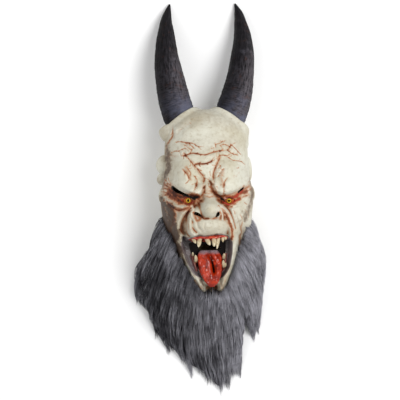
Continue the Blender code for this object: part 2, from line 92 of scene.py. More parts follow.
# Raised folds: points (x, y, rise), then the width on the left and right of the line's direction
FOLDS = (
    (((-84, 42, 9), (-64, 33, 24), (-44, 23, 29), (-25, 16, 27), (-17, 22, 22)), 20, 9),
    (((82, 36, 9), (58, 25, 24), (36, 18, 29), (20, 20, 27), (13, 28, 22)), 9, 20),
    (((-3, 24, 7), (0, 8, 11), (3, -8, 26)), 19, 19),
    (((-35, -18, 25), (-38, -31, 29), (-33, -43, 30)), 6, 6),
    (((15, -18, 28), (25, -28, 28), (26, -42, 29)), 6, 6),
    (((-42, -13, 19), (-54, -24, 25), (-62, -36, 27), (-67, -48, 27), (-69, -63, 27),
      (-64, -80, 24)), 11, 11),
    (((-38, -23, 25), (-42, -47, 30), (-40, -65, 32), (-31, -74, 31)), 8, 8),
    (((24, -16, 24), (36, -30, 27), (44, -49, 29), (48, -67, 28), (49, -84, 24)), 10, 10),
    (((50, -22, 18), (57, -47, 20), (62, -70, 16)), 9, 9),
    (((-93, 8, 6), (-82, -4, 12), (-69, -12, 17), (-53, -15, 17), (-39, -11, 18)), 7, 7),
    (((88, 8, 6), (76, -6, 11), (62, -14, 15), (46, -12, 15), (33, -6, 17)), 7, 7),
    (((-67, -66, 24), (-62, -84, 20), (-55, -110, 22), (-42, -141, 24), (-27, -170, 25),
      (-13, -190, 22)), 8, 14),
    (((53, -70, 22), (52, -97, 21), (49, -125, 23), (41, -150, 25), (31, -174, 26),
      (26, -191, 23)), 14, 8),
    (((-12, -179, 15), (5, -178, 12), (24, -179, 15)), 12, 8),
    (((-38, -158, 24), (-30, -172, 24), (-22, -184, 22), (-14, -192, 17)), 15, 8),
    (((38, -156, 24), (33, -172, 24), (29, -184, 22), (25, -192, 17)), 8, 14),
)
FOLD_DROP = 24.0
MOUND_DROP = 0.85
BLEND = 7.0
CHIN_NOTCH = (5, -183, 17, 12)      # middle x, y where it starts, half width, depth

MOUTH_OUTLINE = (
    (-58, -77), (-50, -77), (-42, -79), (-32, -76), (-22, -74), (-10, -75), (0, -74), (9, -73),
    (20, -72), (31, -73), (41, -77), (46, -86), (46, -109), (44, -128), (40, -144), (34, -155),
    (26, -164), (16, -168), (4, -169), (-8, -168), (-21, -163), (-32, -156), (-40, -144),
    (-48, -126), (-55, -106), (-58, -92),
)
MOUTH_FLOOR = ((-70, 178), (-90, 170), (-110, 170), (-150, 172), (-190, 176))   # y, height
PLAIN_FACE_HEIGHT = 205.0   # about where the front of the plain head lies
GUMS = (                    # points (x, y, height), half width, how red it is
    (((-46, -79, 213), (-36, -79, 216), (-27, -81, 217), (-16, -79, 217), (-6, -81, 218),
      (4, -79, 218), (14, -80, 218), (24, -78, 217), (34, -78, 216), (41, -81, 213)), 6.5, 1.0),
    (((-38, -113, 176), (-34, -127, 184), (-30, -143, 184), (-25, -156, 177)), 3.8, 0.45),
    (((36, -112, 177), (34, -127, 185), (31, -144, 185), (28, -157, 177)), 4.0, 0.45),
)
LUMP_HEIGHT = 112
LUMPS = (                   # side, middle y, how far it stands out, half size along y and z
    (-1, 79, 18, 22, 15), (-1, 49, 14, 15, 15), (-1, 147, 12, 17, 34), (-1, 12, 4, 16, 30),
    (1, 68, 7, 26, 14), (1, 142, 5, 30, 34), (1, 14, 4, 16, 30),
)

EYE_SLITS = (
    (((-75, 28), (-70, 23), (-63, 18), (-53, 14), (-44, 10)), 3.8),
    (((76, 25), (69, 20), (62, 16)), 2.2),
)
NOSTRILS = ((-25, -29.5, 7.5, 3.4, -30), (17.5, -30.5, 3.8, 4.6, -20))
THROAT = (1, -103, 25, 8)

HORN_LEFT = (
    (-40, 140, 104, 36), (-52, 175, 101, 36.5), (-63.6, 206.5, 98, 36.8), (-72.3, 246, 91, 35),
    (-79, 286, 80, 32), (-82.6, 326, 64, 27.2), (-82.7, 366, 44.5, 21.2), (-80.6, 405, 24.5, 13.6),
    (-76.8, 427, 13, 8.4), (-72.5, 446, 5, 2),
)
HORN_RIGHT = (
    (40, 138, 104, 36), (51, 172, 101, 36.2), (62.6, 204.4, 98, 36.3), (74.4, 244, 91, 33.7),
    (82.3, 285, 80, 29.9), (88, 326, 64, 26.4), (89.7, 366, 43.5, 20.7), (86.2, 405, 24, 13.6),
    (82.3, 427, 12.5, 8.6), (76.6, 446, 5, 2),
)

# Wrinkles: points (x, y), depth, half width, how much stain lies in it
WRINKLES = (
    (((-57, 95), (-48, 96), (-35, 100), (-25, 99), (-7, 96), (7, 100), (23, 104), (42, 106)),
     2.6, 2.3, 0.9),
    (((-31, 76), (-22, 77), (-11, 77), (0, 79), (13, 85)), 3.2, 3.0, 1.0),
    (((-68, 126), (-58, 126), (-47, 124), (-31, 121), (-24, 116), (-14, 112)), 2.0, 1.8, 0.7),
    (((-80, 102), (-70, 106), (-62, 106), (-53, 110), (-46, 111)), 1.8, 1.8, 0.5),
    (((-51, 120), (-43, 113), (-35, 107)), 1.2, 1.4, 0.5),
    (((-40, 122), (-34, 115), (-28, 109)), 1.2, 1.4, 0.5),
    (((-48, 122), (-38, 122)), 1.0, 1.4, 0.5),
    (((-51, 104), (-48, 97), (-37, 83), (-30, 75), (-17, 58), (-11, 51), (-9, 42), (-12, 35),
      (-12, 24), (-16, 12)), 2.2, 2.2, 0.8),
    (((-33, 54), (-27, 47), (-25, 40), (-28, 30), (-33, 19), (-40, 12)), 2.4, 2.4, 0.6),
    (((-47, 72), (-43, 65), (-38, 58), (-40, 51)), 1.8, 1.8, 0.7),
    (((-54, 64), (-47, 56), (-44, 51), (-42, 44)), 2.2, 2.4, 0.9),
    (((24, 92), (23, 85), (15, 69), (10, 54), (11, 43), (11, 36), (7, 27)), 1.9, 2.3, 0.8),
    (((4, 40), (7, 27), (13, 18), (20, 9), (30, 4)), 1.4, 2.4, 0.8),
    (((26, 73), (20, 66)), 1.6, 1.8, 0.6),
    (((35, 67), (28, 62), (23, 55), (19, 47)), 1.8, 1.8, 0.6),
    (((41, 48), (34, 39), (32, 30), (31, 18), (31, 7)), 2.4, 2.2, 0.65),
    (((5, 109), (14, 112)), 1.2, 1.4, 0.5),
    (((17, 110), (17, 118), (27, 121), (34, 127)), 1.4, 1.4, 0.6),
    (((25, 116), (36, 118), (43, 116), (53, 109)), 1.6, 1.6, 0.7),
    (((42, 106), (51, 116), (60, 109), (67, 102), (73, 96)), 1.8, 1.6, 0.8),
    (((42, 106), (51, 99), (67, 95)), 1.6, 1.6, 0.7),
    (((40, 92), (53, 84), (63, 83), (76, 81)), 1.6, 1.6, 0.6),
    (((18, 90), (26, 94), (35, 95), (41, 93)), 1.6, 1.6, 0.7),
    (((26, 92), (24, 99), (27, 105)), 1.4, 1.5, 0.6),
    (((3, 61), (4, 50)), 1.4, 1.8, 0.5),
    (((3, 40), (6, 29)), 0.5, 1.8, 0.5),
    (((59, 66), (67, 68)), 1.2, 1.6, 0.5),
    (((53, 51), (61, 49)), 1.2, 1.6, 0.5),
    (((-72, 163), (-74, 140), (-81, 128), (-88, 115), (-90, 98)), 4.0, 3.0, 0.3),
    (((-23, 173), (-45, 160), (-61, 147), (-74, 131)), 3.0, 6.0, 0.1),
    (((-79, 32), (-86, 38), (-91, 49)), 1.6, 1.6, 0.6),
    (((-76, 27), (-86, 30), (-92, 35), (-94, 40)), 1.6, 1.6, 0.7),
    (((-80, 23), (-87, 25), (-94, 27), (-99, 29)), 1.6, 1.6, 0.7),
    (((-82, 17), (-87, 17), (-94, 19), (-101, 20)), 1.6, 1.6, 0.7),
    (((-86, 14), (-94, 11), (-98, 9)), 1.4, 1.6, 0.6),
    (((-79, 35), (-84, 44), (-85, 50)), 1.4, 1.6, 0.6),
    (((-97, -2), (-92, 5)), 1.2, 1.6, 0.5),
    (((-90, 2), (-86, -5), (-78, -13), (-72, -18), (-65, -21), (-57, -20), (-51, -18),
      (-43, -14), (-36, -9)), 3.2, 2.8, 1.0),
    (((-36, -14), (-43, -21), (-47, -26), (-50, -30)), 1.8, 2.2, 0.6),
    (((-25, 3), (-20, 0), (-15, -2)), 1.8, 1.8, 0.7),
    (((-27, -1), (-23, -6), (-20, -10), (-19, -17)), 1.2, 2.0, 0.45),
    (((9, 53), (10, 44), (11, 38), (10, 29), (8, 24)), 0.7, 2.2, 0.5),
    (((8, 24), (14, 14), (21, 8), (28, 2), (32, -1)), 2.4, 2.8, 0.9),
    (((3, 40), (6, 33), (7, 24)), 0.6, 1.8, 0.5),
    (((1, 21), (7, 16)), 1.6, 1.8, 0.6),
    (((16, 30), (18, 24), (19, 17), (21, 11)), 2.0, 2.0, 0.4),
    (((73, 25), (78, 31)), 1.6, 1.6, 0.6),
    (((77, 21), (84, 25), (91, 28)), 1.6, 1.6, 0.6),
    (((76, 12), (82, 15), (87, 18), (93, 21)), 1.6, 1.6, 0.7),
    (((73, 4), (76, 6), (83, 8), (91, 10)), 1.6, 1.6, 0.6),
    (((76, -6), (80, -9), (84, -11)), 1.4, 1.6, 0.6),
    (((16, -16), (19, -12), (23, -16)), 1.4, 1.6, 0.5),
    (((27, -17), (30, -22), (33, -27), (37, -32)), 1.8, 2.0, 0.6),
    (((51, -22), (54, -26), (55, -33)), 1.6, 2.0, 0.6),
    (((43, -13), (48, -15), (52, -12), (59, -7), (63, -2)), 2.4, 2.2, 0.8),
    (((-25, -4), (-20, -8), (-18, -13), (-18, -19), (-17, -28), (-14, -35)), 1.2, 3.0, 0.05),
    (((-19, -33), (-15, -37), (-11, -40), (-5, -39), (-1, -39)), 2.4, 2.0, 0.9),
    (((15, -18), (16, -26), (13, -36), (6, -40)), 1.4, 2.4, 0.3),
    (((-26, -43), (-26, -52), (-24, -58), (-19, -64), (-14, -66)), 2.0, 2.2, 0.22),
    (((-38, -57), (-34, -61), (-31, -65), (-27, -69)), 1.8, 2.0, 0.22),
    (((-27, -10), (-38, -21), (-48, -29), (-57, -40), (-60, -52), (-61, -63), (-58, -71)),
     2.8, 2.8, 0.75),
    (((-46, -38), (-45, -52), (-44, -64)), 1.8, 2.4, 0.5),
    (((27, -19), (30, -26), (37, -33), (41, -39), (42, -48), (44, -57), (47, -64), (49, -68),
      (48, -75), (46, -84)), 3.4, 2.8, 1.0),
    (((20, -50), (24, -50)), 1.2, 2.2, 0.3),
    (((-57, -119), (-52, -128), (-49, -135)), 1.2, 2.0, 0.3),
    (((-10, -46), (-12, -56), (-10, -66)), 1.2, 1.8, 0.2),
    (((5, -47), (6, -58)), 1.0, 1.8, 0.15),
    (((18, -46), (20, -58), (17, -67)), 1.2, 1.8, 0.2),
    (((-40, -150), (-36, -158), (-30, -166)), 1.4, 1.6, 0.4),
    (((-33, -168), (-28, -176), (-24, -186)), 1.4, 1.6, 0.4),
    (((-20, -176), (-18, -186), (-13, -192)), 1.4, 1.4, 0.4),
    (((42, -140), (38, -156), (31, -172)), 1.4, 1.6, 0.4),
    (((24, -178), (26, -190)), 1.6, 1.4, 0.5),
    (((-96, -12), (-90, -24), (-80, -34)), 1.6, 1.8, 0.4),
    (((-92, -30), (-82, -44), (-72, -52)), 1.6, 1.8, 0.4),
    (((-76, -40), (-72, -58), (-70, -76)), 1.8, 2.2, 0.4),
    (((66, -30), (72, -44), (70, -60)), 1.6, 2.0, 0.4),
    (((76, -20), (84, -30), (88, -42)), 1.4, 1.8, 0.4),
    (((60, -92), (56, -110), (51, -126)), 1.4, 1.8, 0.3),
    (((-8, 8), (0, 6), (8, 8)), 1.2, 1.6, 0.5),
    (((-9, 15), (-1, 13), (7, 15)), 1.2, 1.6, 0.5),
    (((-8, 34), (-10, 24), (-9, 14)), 1.6, 1.8, 0.6),
    (((0, 36), (0, 26)), 1.4, 1.6, 0.6),
)
BRANCHED = 34               # how many of the wrinkles, from the first, have fine branches

# Raised soft edges: points (x, y), rise, half width
RIDGES = (
    (((-93, 9), (-88, 2), (-82, -4), (-76, -9), (-69, -12), (-60, -14), (-53, -15), (-40, -11)),
     2.2, 3.0),
    (((32, -11), (44, -13), (56, -9), (66, -2)), 1.6, 2.6),
    (((-35, -19), (-39, -26), (-38, -37), (-35, -42)), 1.6, 2.6),
    (((14, -26), (19, -20), (23, -19), (26, -24), (27, -33), (25, -42)), 1.6, 2.4),
    (((-43, -78), (-31, -75), (-19, -72), (-6, -78), (6, -73), (18, -72), (32, -73), (41, -79)),
     1.2, 2.0),
)

# Eye openings: outline, seen from the front, and the lid's height over the eye's edge
EYE_OPENINGS = (
    ((-56, 0), (-52, 3.5), (-47, 5.5), (-43, 5.8), (-39, 4), (-35, 0), (-37, -4.5), (-44, -7),
     (-50, -6), (-54, -3.5)),
    ((31, -2.5), (35, 1.5), (40, 3), (45, 3), (50, 1.5), (57, 0), (53, -4.5), (48, -7.5),
     (42, -8.5), (36, -7)),
)
EYES = ((-44, -0.5), (43, -2.5))
EYE_RADIUS = 11.5
LID_RISE = 4.2              # how far the lids stand over the face
EYE_HOLLOW = 6.0            # how far the hollow goes down into it
EYE_SINK = 2.5              # how far the eyeball's middle lies under the hollow's floor

TONGUE = (                  # centre line (x, y, height of the top), half width
    (1, -108, 188, 17), (1, -118, 193, 22), (1.5, -132, 197, 23.5), (3, -148, 199, 23),
    (5, -162, 200, 22), (6, -173, 200, 18), (6.5, -181, 198, 12), (7, -186, 196, 5),
)
TONGUE_DEPTH = 22.0
TONGUE_EDGE = (             # left x, y, right x
    (-14, -106, 16), (-22, -111, 20), (-25, -118, 25), (-26, -126, 27), (-24, -139, 27),
    (-21, -154, 26), (-16, -166, 23), (-9, -177, 18), (-4, -183, 12), (2, -187, 8),
)
TONGUE_CLEFT = (            # x, y, depth, half width
    (-1, -104, 7, 2.0), (0, -112, 8, 1.8), (2, -122, 9, 1.5), (6, -135, 12, 2.3),
    (8, -146, 14, 3.0), (9, -155, 10, 2.6), (8, -162, 2, 1.0),
)
TONGUE_FORK = ((1, -118, 3, 1.2), (9, -129, 6, 1.5), (14, -137, 2, 1.2))

# Teeth: one or two points each, as root (x, y, z), tip (x, y, z), width
UPPER_TEETH = (
    (((-35.4, -81, 206), (-29.7, -91.5, 219), 6.8),),
    (((-21.0, -80, 208), (-24.2, -99.6, 221), 9.0),),
    (((-6.4, -82, 209), (0.6, -95.8, 221), 9.0),),
    (((10.3, -80, 209), (9.0, -98.8, 223), 9.5),),
    (((20.6, -78, 210), (14.6, -104.1, 224), 6.5),),
    (((29.2, -77, 209), (27.6, -89.6, 220), 6.5), ((33.4, -77, 208), (34.3, -84.5, 219), 6.0)),
)
LOWER_TEETH = (
    (((-35.6, -119, 187), (-36.2, -111, 199), 4.2),),
    (((-29.4, -131, 186), (-30.3, -117, 202), 7.0),),
    (((30.6, -126, 187), (31.2, -114.7, 201), 6.5),),
    (((30.8, -144, 186), (29.0, -129, 202), 6.4), ((33.8, -143, 186), (34.4, -135, 198), 5.0)),
)

# How the fur lies: lines from the jaw's edge to the end of the hair, left to right
FUR_LINES = (
    ((-96, -24), (-106, -50), (-120, -92), (-145, -124), (-160, -165), (-164, -206)),
    ((-91, -42), (-107, -88), (-129, -132), (-146, -172), (-156, -208), (-157, -238)),
    ((-81, -64), (-97, -108), (-115, -152), (-129, -190), (-138, -228), (-131, -262)),
    ((-71, -90), (-87, -136), (-101, -182), (-112, -228), (-119, -270), (-118, -308)),
    ((-61, -116), (-75, -162), (-88, -210), (-97, -258), (-99, -304), (-89, -344)),
    ((-49, -140), (-60, -188), (-69, -238), (-74, -288), (-69, -332), (-56, -372)),
    ((-35, -164), (-43, -212), (-49, -262), (-51, -312), (-47, -356), (-37, -399)),
    ((-17, -192), (-21, -236), (-22, -284), (-17, -330), (-8, -376), (1, -419)),
    ((5, -182), (6, -242), (8, -294), (13, -346), (20, -400), (28, -453)),
    ((24, -193), (30, -240), (34, -290), (38, -338), (42, -386), (46, -430)),
    ((36, -180), (47, -224), (57, -268), (65, -312), (71, -356), (75, -398)),
    ((43, -164), (56, -196), (67, -226), (75, -254), (80, -276), (83, -296)),
    ((50, -142), (68, -180), (84, -218), (95, -254), (102, -290), (105, -322)),
    ((57, -116), (77, -152), (96, -190), (109, -230), (116, -268), (118, -302)),
    ((66, -86), (87, -118), (108, -154), (120, -192), (123, -230), (121, -266)),
    ((77, -56), (97, -84), (117, -120), (127, -154), (127, -184), (122, -212)),
    ((90, -26), (101, -50), (114, -84), (127, -120), (131, -146), (133, -168)),
)
FUR_STEPS = 24
CHIN_LINE = 8               # the line that starts under the tongue's tip
CHIN_RISE = 16.0            # how far the fur stands up there
LINE_STEPS = 3              # rows of fur from one line to the next
LINE_OVERSHOOT = 0.035      # share of its length by which each line is made longer
BACKING_ROWS = slice(4, -6)         # rows of fur that the backing lies under
BACKING_START = 0.06        # share of a row at which it begins

# Brushed stain and painted shade: map, points (x, y), half width, strength
STROKES = (
    ("rust_and_shade", ((-82, 22), (-72, 13), (-60, 8), (-50, 6)), 6.5, 1.0),
    ("rust_and_shade", ((-84, 13), (-72, 4), (-60, -2), (-48, -5), (-32, -3)), 6.5, 0.9),
    ("rust_and_shade", ((-74, 12), (-66, 4)), 4.5, 1.1),
    ("rust_and_shade", ((-26, 0), (-20, -3), (-14, -2)), 3.5, 0.45),
    ("rust_and_shade", ((-40, 9), (-30, 8), (-22, 6)), 6.0, 1.0),
    ("rust_and_shade", ((5, 28), (12, 15), (22, 6), (30, 1)), 4.0, 0.8),
    ("rust_and_shade", ((22, -1), (33, -7), (44, -9), (54, -5), (66, 3)), 5.0, 0.75),
    ("rust_and_shade", ((50, 4), (60, 9), (70, 14), (82, 17)), 6.0, 0.72),
    ("rust_and_shade", ((34, 8), (44, 6), (54, 7)), 3.5, 0.7),
    ("rust_and_shade", ((-30, -35), (-27, -43), (-21, -40), (-18, -36)), 3.4, 0.5),
    ("rust_and_shade", ((22, -26), (24, -34), (22, -41)), 3.2, 0.5),
    ("rust_and_shade", ((-33, -26), (-26, -34), (-19, -36)), 3.0, 0.6),
    ("rust_and_shade", ((-46, -28), (-53, -38), (-55, -50), (-55, -64)), 6.0, 0.28),
    ("rust_and_shade", ((36, -33), (43, -50), (48, -68), (47, -84)), 3.2, 0.8),
    ("rust_and_shade", ((-104, 84), (-104, 72), (-102, 62)), 4.0, 0.6),
    # Broad faint rust strokes: rust wash with painted shade in the valleys between the brows and
    # the nose.
    ("rust_and_shade", ((-38, 84), (-22, 62), (-12, 46), (-12, 30), (-14, 14)), 5.0, 0.26),
    ("rust_and_shade", ((24, 90), (15, 68), (11, 48), (8, 30), (14, 16), (26, 4)), 5.0, 0.32),
    ("rust_and_shade", ((-12, 28), (-1, 18), (10, 24)), 8.0, 0.28),
    ("rust_and_shade", ((-16, 6), (-8, 9), (2, 8), (12, 7)), 4.0, 0.3),
    ("rust_and_shade", ((-24, 12), (-29, -2), (-24, -10)), 4.5, 0.32),
    ("rust_and_shade", ((-78, 30), (-88, 33), (-96, 30)), 8.0, 0.28),
    ("rust_and_shade", ((-84, 14), (-97, 14)), 7.0, 0.28),
    ("rust_and_shade", ((72, 22), (84, 25), (94, 26)), 7.0, 0.34),
    ("rust_and_shade", ((74, 6), (88, 10)), 6.0, 0.28),
    ("rust_and_shade", ((-70, -22), (-56, -30), (-50, -48), (-52, -66)), 4.5, 0.22),
    ("rust_and_shade", ((-84, -6), (-74, -16), (-60, -20), (-44, -16)), 4.5, 0.6),
    ("rust_and_shade", ((26, -18), (38, -32), (43, -50), (48, -70), (47, -84)), 5.0, 0.32),
    ("rust_and_shade", ((-48, 70), (-42, 56), (-40, 44)), 5.0, 0.3),
    ("rust_and_shade", ((32, 62), (26, 48), (30, 30)), 5.0, 0.3),
    ("rust_and_shade", ((-54, 66), (-42, 52)), 3.0, 0.4),
    ("rust_and_shade", ((-60, 102), (-48, 104), (-38, 110), (-52, 118)), 6.0, 0.12),
    ("rust_and_shade", ((42, 106), (52, 108), (58, 98), (44, 96)), 6.0, 0.1),
    ("rust_and_shade", ((-66, 96), (-90, 96)), 6.0, 0.18),
    # Brown strokes: painted shade down the sides of the head, over the forehead, and along the jaw
    # and the chin's tabs.
    ("brown_shade", ((-104, 2), (-98, -26), (-88, -54), (-76, -84), (-66, -108)), 13.0, 1.25),
    ("brown_shade", ((-84, -16), (-80, -44), (-70, -80)), 11.0, 1.3),
    ("brown_shade", ((-86, 112), (-84, 88), (-86, 64)), 9.0, 0.8),
    ("brown_shade", ((-92, 120), (-89, 100), (-92, 84)), 8.0, 0.8),
    ("brown_shade", ((-92, 60), (-96, 44), (-100, 30)), 9.0, 0.9),
    ("brown_shade", ((96, 40), (98, 12), (90, -16), (78, -44)), 8.0, 0.75),
    ("brown_shade", ((-108, 48), (-106, 40), (-101, 34)), 7.0, 1.0),
    ("brown_shade", ((-60, 168), (0, 176), (60, 168)), 30.0, 0.3),
    ("brown_shade", ((-50, 120), (50, 120)), 30.0, 0.3),
    ("brown_shade", ((70, -26), (77, -32), (72, -42), (60, -48)), 5.0, 0.55),
    ("brown_shade", ((-61, -110), (-52, -138), (-40, -166), (-26, -190)), 3.4, 0.9),
    ("brown_shade", ((-20, -172), (-14, -184), (-13, -194)), 3.0, 0.7),
    ("brown_shade", ((22, -190), (36, -172), (46, -140)), 2.5, 0.4),
    ("red", ((56, 4), (66, 12), (76, 22)), 3.0, 0.75),
    ("red", ((39, -9), (49, -9), (58, -3), (66, 2)), 2.6, 0.8),
    ("red", ((-58, 2), (-50, -6), (-42, -8), (-34, -3)), 2.6, 0.65),
    ("red", ((-54, 5), (-46, 7), (-38, 6)), 2.2, 0.55),
    ("rust_and_shade", ((-60, 1), (-50, -7), (-42, -9), (-33, -5)), 4.0, 0.85),
    ("rust_and_shade", ((-84, -10), (-74, -22), (-72, -36), (-76, -52)), 4.5, 0.5),
    ("red", ((31, -5), (40, -10), (49, -8), (58, -2)), 2.8, 0.9),
    ("red", ((33, 3), (42, 5), (52, 4), (60, 10), (66, 15)), 2.4, 0.8),
    # Black strokes: painted shade in the eye slits, in the eyes' corners, in the lid creases and
    # around the nostrils.
    ("dark", ((-76, 29), (-70, 23), (-63, 18), (-53, 13), (-44, 9)), 3.4, 1.0),
    ("dark", ((-74, 25), (-67, 20), (-60, 16)), 4.6, 1.0),
    ("dark", ((-39, 6), (-33, 5), (-25, 6)), 2.6, 1.0),
    ("dark", ((-34, 3), (-29, 2)), 2.2, 0.9),
    ("dark", ((26, 3), (31, 0), (33, -3)), 2.4, 0.9),
    ("dark", ((64, 15), (70, 20), (77, 25)), 2.0, 0.9),
    ("dark", ((-30, -28), (-25, -30), (-19, -33)), 2.6, 1.0),
    ("dark", ((14, -35), (17, -31), (19, -27)), 2.6, 1.0),
    ("rust_and_shade", ((-32, -172), (-26, -182), (-18, -190)), 3.0, 0.35),
    ("rust_and_shade", ((34, -170), (30, -184), (27, -192)), 2.6, 0.22),
    ("dark", ((-45, 9), (-38, 8)), 1.4, 0.8),
    ("dark", ((36, 4), (44, 4), (52, 3)), 1.3, 0.8),
)

# Heights at which the stain and the painted shade start up the sides, and how far it takes to be
# full
PAINT_START, PAINT_FADE = 116, 38
BROWN_SHADE_START, BROWN_SHADE_FADE = 92, 56

# Where the stain and the painted shade were taken off again: middle (x, y), half sizes, share
# taken off
WIPED = (
    (8, 36, 11, 18, 0.45), (-9, 40, 8, 14, 0.25), (-57, -52, 11, 24, 0.25), (44, -62, 9, 20, 0.2),
)

# Helpers for forms

def smooth_max(first, second, blend=BLEND):
    """Larger of the two, rounded off where they meet."""
    share = np.maximum(blend - np.abs(first - second), 0.0) / blend
    return np.maximum(first, second) + share * share * blend * 0.25


def smooth_step(value):
    value = np.clip(value, 0.0, 1.0)
    return value * value * (3.0 - 2.0 * value)


def signed_power(value, power):
    return np.sign(value) * np.abs(value) ** power


def curve_points(points, steps=4):
    """Smooth curve through the points, with this many steps between two of them."""
    points = np.array(points, dtype=float)
    padded = np.vstack([2 * points[0] - points[1], points, 2 * points[-1] - points[-2]])
    result = []
    for i in range(len(points) - 1):
        a, b, c, d = padded[i:i + 4]
        for step in range(steps):
            t = step / steps
            result.append(0.5 * (2 * b + (c - a) * t + (2 * a - 5 * b + 4 * c - d) * t * t
                                 + (3 * b - a - 3 * c + d) * t ** 3))
    result.append(points[-1])
    return np.array(result)


def distance_to_curve(x, y, curve):
    """Distance from each point to the curve, the share along it, and the side (+1 is left)."""
    best = np.full(x.shape, 1e9)
    share = np.zeros(x.shape)
    side = np.ones(x.shape)
    count = len(curve) - 1
    for i in range(count):
        ax, ay = curve[i][0], curve[i][1]
        dx, dy = curve[i + 1][0] - ax, curve[i + 1][1] - ay
        t = np.clip(((x - ax) * dx + (y - ay) * dy) / (dx * dx + dy * dy), 0.0, 1.0)
        ox, oy = x - ax - t * dx, y - ay - t * dy
        distance = np.hypot(ox, oy)
        nearer = distance < best
        best = np.where(nearer, distance, best)
        share = np.where(nearer, (i + t) / count, share)
        side = np.where(nearer, np.where(dx * oy - dy * ox >= 0, 1.0, -1.0), side)
    return best, share, side


def value_along(share, curve, column):
    return np.interp(share, np.linspace(0, 1, len(curve)), curve[:, column])


def outline_distance(x, y, outline):
    """Distance to a closed outline: positive inside it, negative outside."""
    closed = np.array(list(outline) + [outline[0]], dtype=float)
    distance, _, _ = distance_to_curve(x, y, closed)
    inside = np.zeros(x.shape, dtype=bool)
    for (ax, ay), (bx, by) in zip(closed[:-1], closed[1:]):
        crosses = (ay > y) != (by > y)
        at = ax + (y - ay) * (bx - ax) / np.where(by == ay, 1e-9, by - ay)
        inside ^= crosses & (x < at)
    return np.where(inside, distance, -distance)


def rounded(outline, steps=4):
    """The closed outline with its corners rounded off."""
    points = list(outline)
    closed = points[-2:] + points + points[:2]
    curve = curve_points(closed, steps)
    return [tuple(p) for p in curve[2 * steps:-1 - steps]]


def lattice(u, v, seed):
    """A fixed random value from -1 to 1 for each pair of whole numbers."""
    mixed = u.astype(np.int64) * 73856093 ^ v.astype(np.int64) * 19349663 ^ seed * 83492791
    mixed = (mixed ^ (mixed >> 13)) * 1274126177 & 0x7FFFFFFF
    return mixed / 0x3FFFFFFF - 1.0


def hills(x, y, size, seed):
    """Smooth random values from -1 to 1 in hills of about this size."""
    u, v = x / size, y / size
    iu, iv = np.floor(u), np.floor(v)
    fu, fv = smooth_step(u - iu), smooth_step(v - iv)
    low = lattice(iu, iv, seed) * (1 - fu) + lattice(iu + 1, iv, seed) * fu
    high = lattice(iu, iv + 1, seed) * (1 - fu) + lattice(iu + 1, iv + 1, seed) * fu
    return low * (1 - fv) + high * fv


# Maps over the face

MAP_STEP = 0.9
MAP_X = np.arange(-126.0, 126.0, MAP_STEP)
MAP_Y = np.arange(-240.0, 212.0, MAP_STEP)
X, Y = np.meshgrid(MAP_X, MAP_Y, indexing="ij")


def window(points, reach):
    """The part of a map that lies within reach of the points."""
    points = np.array(points, dtype=float)
    low = points[:, :2].min(axis=0) - reach
    high = points[:, :2].max(axis=0) + reach
    x0, x1 = np.searchsorted(MAP_X, (low[0], high[0]))
    y0, y1 = np.searchsorted(MAP_Y, (low[1], high[1]))
    return slice(x0, x1), slice(y0, y1)


def blurred(values, size):
    """The map softened over this distance."""
    rows = np.fft.fftfreq(values.shape[0], MAP_STEP)[:, None]
    columns = np.fft.rfftfreq(values.shape[1], MAP_STEP)[None, :]
    keep = np.exp(-2 * (math.pi * size) ** 2 * (rows ** 2 + columns ** 2))
    return np.fft.irfft2(np.fft.rfft2(values) * keep, values.shape)


def lowest(values, reach):
    """The lowest value within reach of each point of the map."""
    steps = int(math.ceil(reach / MAP_STEP))
    result = values
    for axis in (0, 1):
        source = result
        for shift in range(1, steps + 1):
            result = np.minimum(result, np.roll(source, shift, axis))
            result = np.minimum(result, np.roll(source, -shift, axis))
    return result


def read_map(values, x, y):
    """Map values at the points (x, y), smoothly between the map's own points."""
    u = np.clip((x - MAP_X[0]) / MAP_STEP, 0, len(MAP_X) - 1.001)
    v = np.clip((y - MAP_Y[0]) / MAP_STEP, 0, len(MAP_Y) - 1.001)
    i, j = u.astype(int), v.astype(int)
    fu, fv = u - i, v - j
    return (values[i, j] * (1 - fu) * (1 - fv) + values[i + 1, j] * fu * (1 - fv)
            + values[i, j + 1] * (1 - fu) * fv + values[i + 1, j + 1] * fu * fv)


def base_forms():
    """The face's main masses and folds, as height over the plain head."""
    relief = np.zeros(X.shape)
    for cx, cy, rise, half_width, half_height, turn in MOUNDS:
        c, s = math.cos(math.radians(turn)), math.sin(math.radians(turn))
        u = ((X - cx) * c + (Y - cy) * s) / half_width
        v = ((Y - cy) * c - (X - cx) * s) / half_height
        relief = smooth_max(relief, rise * (1.0 - MOUND_DROP * (u * u + v * v)))
    for points, left, right in FOLDS:
        curve = curve_points(points)
        area = window(curve, 1.7 * max(left, right))
        distance, share, side = distance_to_curve(X[area], Y[area], curve)
        width = np.where(side > 0, left, right)
        rise = value_along(share, curve, 2)
        relief[area] = smooth_max(relief[area], rise - FOLD_DROP * (distance / width) ** 2)
    return relief


def branches():
    """Fine short cracks that leave the brow's wrinkles at a slant."""
    pick = np.random.default_rng(11)
    result = []
    for points, depth, _, stain in WRINKLES[:BRANCHED]:
        curve = curve_points(points)
        way = np.gradient(curve, axis=0)
        for _ in range(max(2, len(points))):
            at = int(pick.integers(0, len(curve)))
            heading = math.atan2(way[at, 1], way[at, 0])
            turn = heading + pick.choice((-1, 1)) * pick.uniform(0.4, 1.3)
            length = pick.uniform(3, 13)
            bend = pick.uniform(-0.5, 0.5)
            x, y = curve[at]
            middle = (x + 0.5 * length * math.cos(turn), y + 0.5 * length * math.sin(turn))
            end = (middle[0] + 0.5 * length * math.cos(turn + bend),
                   middle[1] + 0.5 * length * math.sin(turn + bend))
            result.append((((x, y), middle, end), 0.35 * depth, 1.0, 0.8 * stain))
    return tuple(result)


